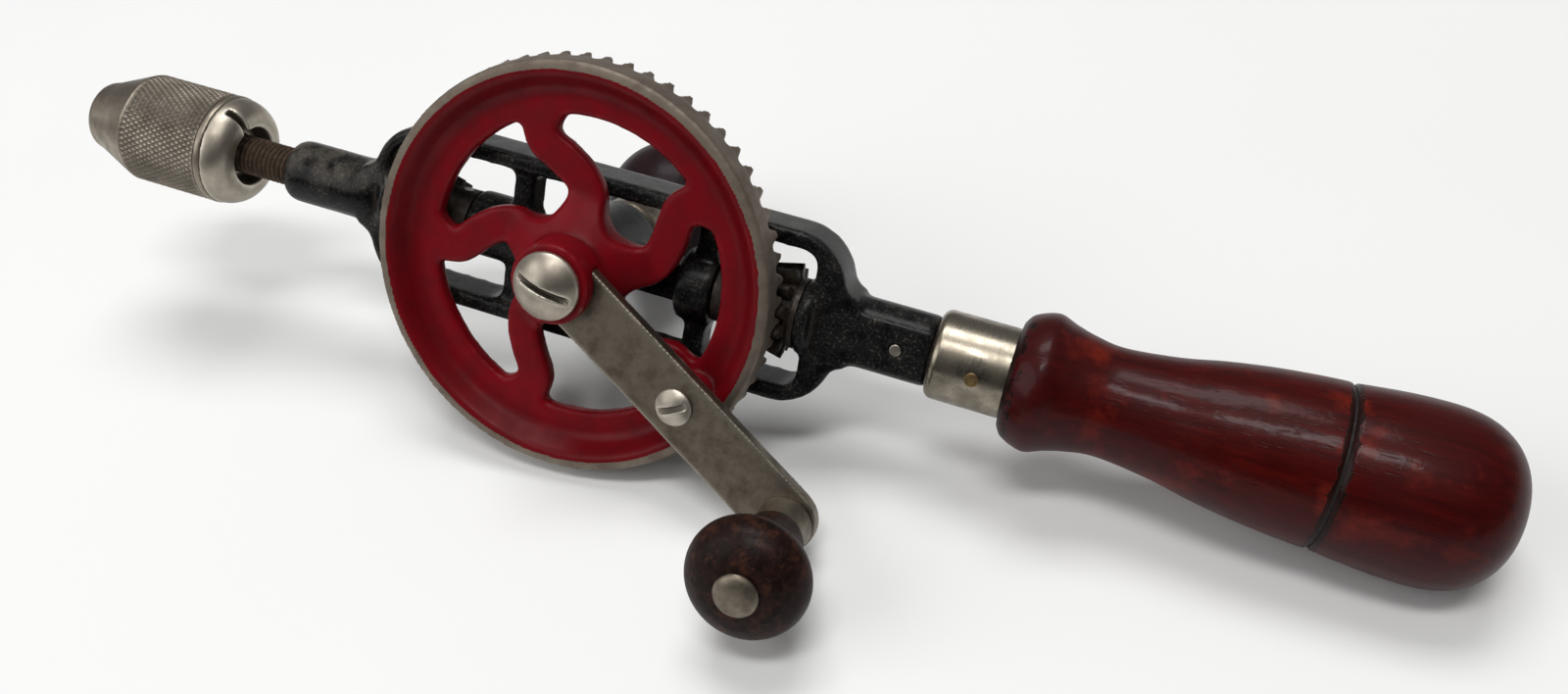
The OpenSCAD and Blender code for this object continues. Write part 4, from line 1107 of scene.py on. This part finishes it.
@dataclass
class MainHandle:
    """Ferrule with its pin, turned hollow grip, black washer and screwed cap."""

    shop: Workshop
    ferrule_x: float = 82.2
    shank_r: float = 8.2
    ferrule_r: float = 10.2
    wall: float = 0.9
    lip: float = 0.25
    rod_r: float = 4.22
    rod_end_x: float = 128.3
    pin_x: float = 92.4
    pin_r: float = 1.65
    pin_edge: float = 0.4
    pin_proud: float = 0.12
    grip_x: float = 99.7
    bead_r: float = 15.6
    waist_r: float = 12.2
    end_r: float = 18.0
    grip_end_x: float = 167.1
    tenon_gap: float = 0.02
    cap_x: float = 168.0
    dome_x: float = 186.1
    cap_end_x: float = 205.6
    cap_r: float = 19.4
    cap_edge: float = 0.5
    dome_power: float = 2.5
    spigot_r: float = 11.0
    spigot_l: float = 12.0
    spigot_edge: float = 0.4
    spigot_gap: Span = (0.3, 0.05)
    store_r: float = 8.4
    store_depth: float = 22.0
    flake_share: float = 0.72

    def ferrule(self) -> None:
        """Thin drawn sleeve with a rounded front edge."""
        x, end, r = self.ferrule_x, self.grip_x, self.ferrule_r
        e, inner = r - self.shank_r, r - self.wall
        front = arc((x + e, self.shank_r), (e, e), (0.0, 90.0), 9)
        rest = [
            [end - self.lip, r], [end, r - self.lip], [end, inner], [x + self.wall, inner],
            [x + self.wall, self.rod_r], [x, self.rod_r],
        ]
        self.shop.turned("ferrule", Slot.BRIGHT, np.vstack([front, rest]), 128, ring=True)

    def grip(self) -> None:
        """Grip outline through its bead, waist and swell, then the spigot's seat, the hollow and the
        bore. Its varnish has flaked at both ends, and raggedly behind the ferrule."""
        x, end, bead, swell = self.grip_x, self.grip_end_x, self.bead_r, self.end_r
        outer = [
            (x, bead - 3.8), (x + 1.8, bead - 1.6), (x + 6.6, bead), (x + 11.0, bead - 1.4),
            (x + 15.5, self.waist_r + 0.8), (x + 22.0, self.waist_r), (end - 34.0, swell - 4.6),
            (end - 24.0, swell - 2.6), (end - 13.0, swell - 1.0), (end - 1.0, swell), (end, swell - 0.6),
        ]
        tenon_x = self.ferrule_x + self.wall + self.tenon_gap
        tenon_r = self.ferrule_r - self.wall - self.tenon_gap
        seat, seat_r = end - self.spigot_l - self.spigot_gap[0], self.spigot_r + self.spigot_gap[1]
        store_x = seat - self.store_depth
        rod = self.rod_end_x
        bore = [[rod, 0.0], [rod, self.rod_r], [tenon_x, self.rod_r], [tenon_x, tenon_r], [x, tenon_r]]
        hollow = [[end, seat_r], [seat, seat_r], [seat, self.store_r], [store_x, self.store_r]]
        outline = np.vstack([bore, through(outer, 10), hollow, [[store_x, 0.0]]])
        piece = self.shop.turned("handle_grip", Slot.RED_WOOD, outline, 160)
        at = self.shop.points_of(piece)[:, 0]
        edge = np.maximum(ease(x + 1.4 - at), ease((at - end + 1.6) / 1.4))
        tag(piece.data, "flaked", np.maximum(edge, self.flake_share * ease((x + 4.6 - at) / 2.5)))

    def cap(self) -> None:
        """Cap: hollow spigot, a sine rise to its largest radius, then a dome (x/l)^p + (r/R)^p = 1."""
        x, dome_x, r = self.cap_x, self.dome_x, self.cap_r
        rise = np.linspace(0.0, 1.0, 24)
        swell = self.end_r + (r - self.end_r) * np.sin(np.pi / 2 * rise)
        side = np.column_stack([x + (dome_x - x) * rise, swell])
        side[0, 1] -= self.cap_edge
        a = np.linspace(0.0, np.pi / 2, 41)[1:]
        power = 2.0 / self.dome_power
        fall = r * np.clip(np.cos(a), 0.0, 1.0) ** power
        dome = np.column_stack([dome_x + (self.cap_end_x - dome_x) * np.sin(a) ** power, fall])
        dome[-1, 1] = 0.0
        mouth, e = self.grip_end_x - self.spigot_l, self.spigot_edge
        spigot = [
            [dome_x, 0.0], [dome_x, self.store_r], [mouth, self.store_r], [mouth, self.spigot_r - e],
            [mouth + e, self.spigot_r], [x, self.spigot_r],
        ]
        piece = self.shop.turned("handle_cap", Slot.RED_WOOD, np.vstack([spigot, side, dome]), 160)
        tag(piece.data, "flaked", ease((x + 2.4 - self.shop.points_of(piece)[:, 0]) / 2.0))

    def build(self) -> None:
        """All of the main handle. Its brass pin is filed a little proud of the ferrule."""
        self.ferrule()
        half = self.ferrule_r + self.pin_proud
        self.shop.pin("ferrule_pin", Slot.BRASS, self.pin_x, half, self.pin_r, self.pin_edge, 48)
        self.grip()
        self.cap()
        self.shop.dress(Slot.FIBRE, "cap_washer")


@dataclass
class SideHandle:
    """Screwed stud, pale ferrule and ball of dark wood behind the axle."""

    shop: Workshop
    stud_r: float = 3.52
    stud_end_y: float = 38.15
    ferrule_y: float = 14.25
    ferrule_end_y: float = 29.85
    ferrule_r: float = 9.2
    ferrule_edge: float = 0.6
    neck_proud: float = 0.4
    neck_flare: float = 1.2
    ball_r: float = 17.6
    ball_y: float = 49.4

    def ferrule(self) -> None:
        """Sleeve with a rounded front edge."""
        y, end, r = self.ferrule_y, self.ferrule_end_y, self.ferrule_r
        corners = [(y, self.stud_r), (y, r - 1.4), (y + 2.0, r), (end, r), (end, self.stud_r)]
        outline = rounded(corners, self.ferrule_edge, True)
        self.shop.turned("side_ferrule", Slot.NICKEL, outline, 112, Line.AXLE, ring=True)

    def knob(self) -> None:
        """Neck that flows into a ball, with the blind hole for the stud."""
        y, r, stud, end = self.ferrule_end_y, self.ball_r, self.stud_r, self.stud_end_y
        neck = self.ferrule_r + self.neck_proud
        start = math.degrees(math.asin((neck + self.neck_flare) / r))
        ball = arc((self.ball_y, 0.0), (r, r), (start, 180.0), 72)
        ball[-1, 1] = 0.0
        foot = [[end, 0.0], [end, stud], [y, stud], [y, neck - 0.6], [y + 0.8, neck]]
        self.shop.turned("side_knob", Slot.PLUM_WOOD, np.vstack([foot, ball]), 144, Line.AXLE)

    def build(self) -> None:
        """All of the side handle."""
        self.ferrule()
        self.knob()
        self.shop.dress(Slot.STEEL, "side_stud")


# Stage


def stand(name: str, data: Any, across: Array, back: Array, at: Array) -> bpy.types.Object:
    """A lamp or camera in the row frame.

    Args:
        name: its name.
        data: the lamp or camera.
        across: unit vector to its right.
        back: unit vector away from what it faces.
        at: its place, in metres.

    Returns:
        The object, linked to the scene.
    """
    pose = np.eye(4)
    pose[:3] = np.column_stack([across, np.cross(back, across), back, at])
    made = in_scene(name, data)
    made.matrix_world = Matrix(pose.tolist())
    return made


@dataclass(frozen=True)
class SoftLamp:
    """A rectangular lamp that faces the drill; level is what it adds to a white surface square to it."""

    name: str
    toward: Triple
    gap: float
    width: float
    depth: float
    level: float

    def build(self) -> None:
        """Places the lamp. Its power is level pi^2 gap^2, from a lamp's radiance power / (pi area)."""
        data = bpy.data.lights.new(self.name, "AREA")
        data.shape = "RECTANGLE"
        data.size, data.size_y = self.width, self.depth
        data.energy = self.level * math.pi**2 * self.gap**2
        back = unit(np.array(self.toward))
        stand(self.name, data, unit(np.cross([0.0, 0.0, 1.0], back)), back, back * self.gap)


@dataclass
class Studio:
    """White table, soft lamps overhead and at the left, a dim room, and the photograph's camera."""

    axes: DrillAxes
    eye: Triple = (114.1, -286.4, 110.7)
    forward: Triple = (-0.2108, 0.9029, -0.3747)
    right: Triple = (0.938, 0.2948, 0.1825)
    focal_px: float = 1411.8
    centre_px: Span = (795.7, 348.8)
    sensor_mm: float = 36.0
    clip_m: Span = (0.01, 20.0)
    table_m: float = 6.0
    fade_m: Span = (0.6, 1.3)
    table_codes: tuple[str, str] = ("#f6f6f5", "#f1f1f0")
    table_cloud_mm: float = 180.0
    table_rough: float = 0.6
    table_specular: float = 0.2
    room_level: float = 0.22
    room_tilt: Triple = (-0.2, 0.55, 0.8)
    room_ends: Span = (-0.35, 0.75)
    room_least: float = 0.08
    lamps: tuple[SoftLamp, ...] = (
        SoftLamp("skylight", (-0.08, 0.3, 0.95), 2.0, 1.1, 0.7, 0.44),
        SoftLamp("ceiling", (0.08, -0.24, 0.97), 2.0, 0.9, 0.3, 0.34),
        SoftLamp("left_window", (-0.62, -0.52, 0.6), 2.2, 1.7, 1.5, 0.36),
    )

    def camera(self) -> None:
        """Camera from the eye, its view and its principal point on the drill's axes."""
        data = bpy.data.cameras.new("camera")
        data.sensor_fit = "HORIZONTAL"
        data.sensor_width = self.sensor_mm
        data.lens = self.focal_px * self.sensor_mm / IMAGE_W
        data.shift_x = (IMAGE_W / 2 - self.centre_px[0]) / IMAGE_W
        data.shift_y = (self.centre_px[1] - IMAGE_H / 2) / IMAGE_W
        data.clip_start, data.clip_end = self.clip_m
        ahead = unit(self.axes.turn @ np.array(self.forward))
        across = self.axes.turn @ np.array(self.right)
        across = unit(across - ahead * (across @ ahead))
        place = self.axes.place(np.array(self.eye))
        bpy.context.scene.camera = stand("camera", data, across, -ahead, place)

    def table(self) -> None:
        """White table top at height zero, very slightly uneven, that fades into the white room."""
        half = self.table_m / 2
        corners = np.array([[-half, -half, 0.0], [half, -half, 0.0], [half, half, 0.0], [-half, half, 0.0]])
        top = mesh_from("table_top", corners, [[0, 1, 2, 3]])
        made = bpy.data.materials.new("white_laminate")
        sheet = Sheet.of(made)
        at = sheet.out("TexCoord", socket="Object")
        away = sheet.out("VectorMath", {0: at}, "Value", operation="LENGTH")
        far = sheet.ramp(away, self.fade_m, curve="SMOOTHSTEP")
        far = sheet.times(far, sheet.out("LightPath", socket="Is Camera Ray"))
        colour = sheet.mix(sheet.noise(at, self.table_cloud_mm), *self.table_codes)
        laminate = {
            "Base Color": colour,
            "Roughness": self.table_rough,
            "Specular IOR Level": self.table_specular,
        }
        near = sheet.out("BsdfPrincipled", laminate)
        white = sheet.out("Emission", {"Color": WHITE, "Strength": 1.0})
        both = sheet.out("MixShader", {0: far, 1: near, 2: white})
        put(sheet.tree, "OutputMaterial", {"Surface": both})
        top.data.materials.append(made)

    def light(self) -> None:
        """Room light that falls off toward the viewer, white for the camera, and the lamps."""
        world = bpy.data.worlds.new("room")
        bpy.context.scene.world = world
        sheet = Sheet.of(world)
        way = sheet.out("TexCoord", socket="Generated")
        tilt = sheet.out("VectorMath", {0: way, 1: self.room_tilt}, "Value", operation="DOT_PRODUCT")
        fall = sheet.ramp(tilt, self.room_ends, foot=self.room_least, curve="SMOOTHSTEP")
        room = sheet.out("Background", {"Color": fall, "Strength": self.room_level})
        seen = sheet.out("Background", {"Color": WHITE, "Strength": 1.0})
        ray = put(sheet.tree, "LightPath").outputs
        eyes = {0: ray["Is Camera Ray"], 1: ray["Is Transmission Ray"]}
        clear = sheet.out("Math", eyes, operation="MAXIMUM")
        both = sheet.out("MixShader", {0: clear, 1: room, 2: seen})
        put(sheet.tree, "OutputWorld", {"Surface": both})
        for lamp in self.lamps:
            lamp.build()

    def build(self) -> None:
        """Camera, table and light."""
        bpy.context.scene.view_settings.view_transform = "Standard"
        self.camera()
        self.table()
        self.light()


def main() -> None:
    """Builds the stage and every sub-assembly."""
    logging.basicConfig(level=logging.INFO, format="%(name)s: %(message)s")
    axes = DrillAxes.from_joints(frame["joints"])
    Studio(axes).build()
    shop = Workshop(axes, {finish.slot: finish.build(axes) for finish in FINISHES})
    for group in (OpenFrame, DriveWheel, Crank, SpindleLine, Chuck, MainHandle, SideHandle):
        group(shop).build()


if __name__ == "__main__":
    main()
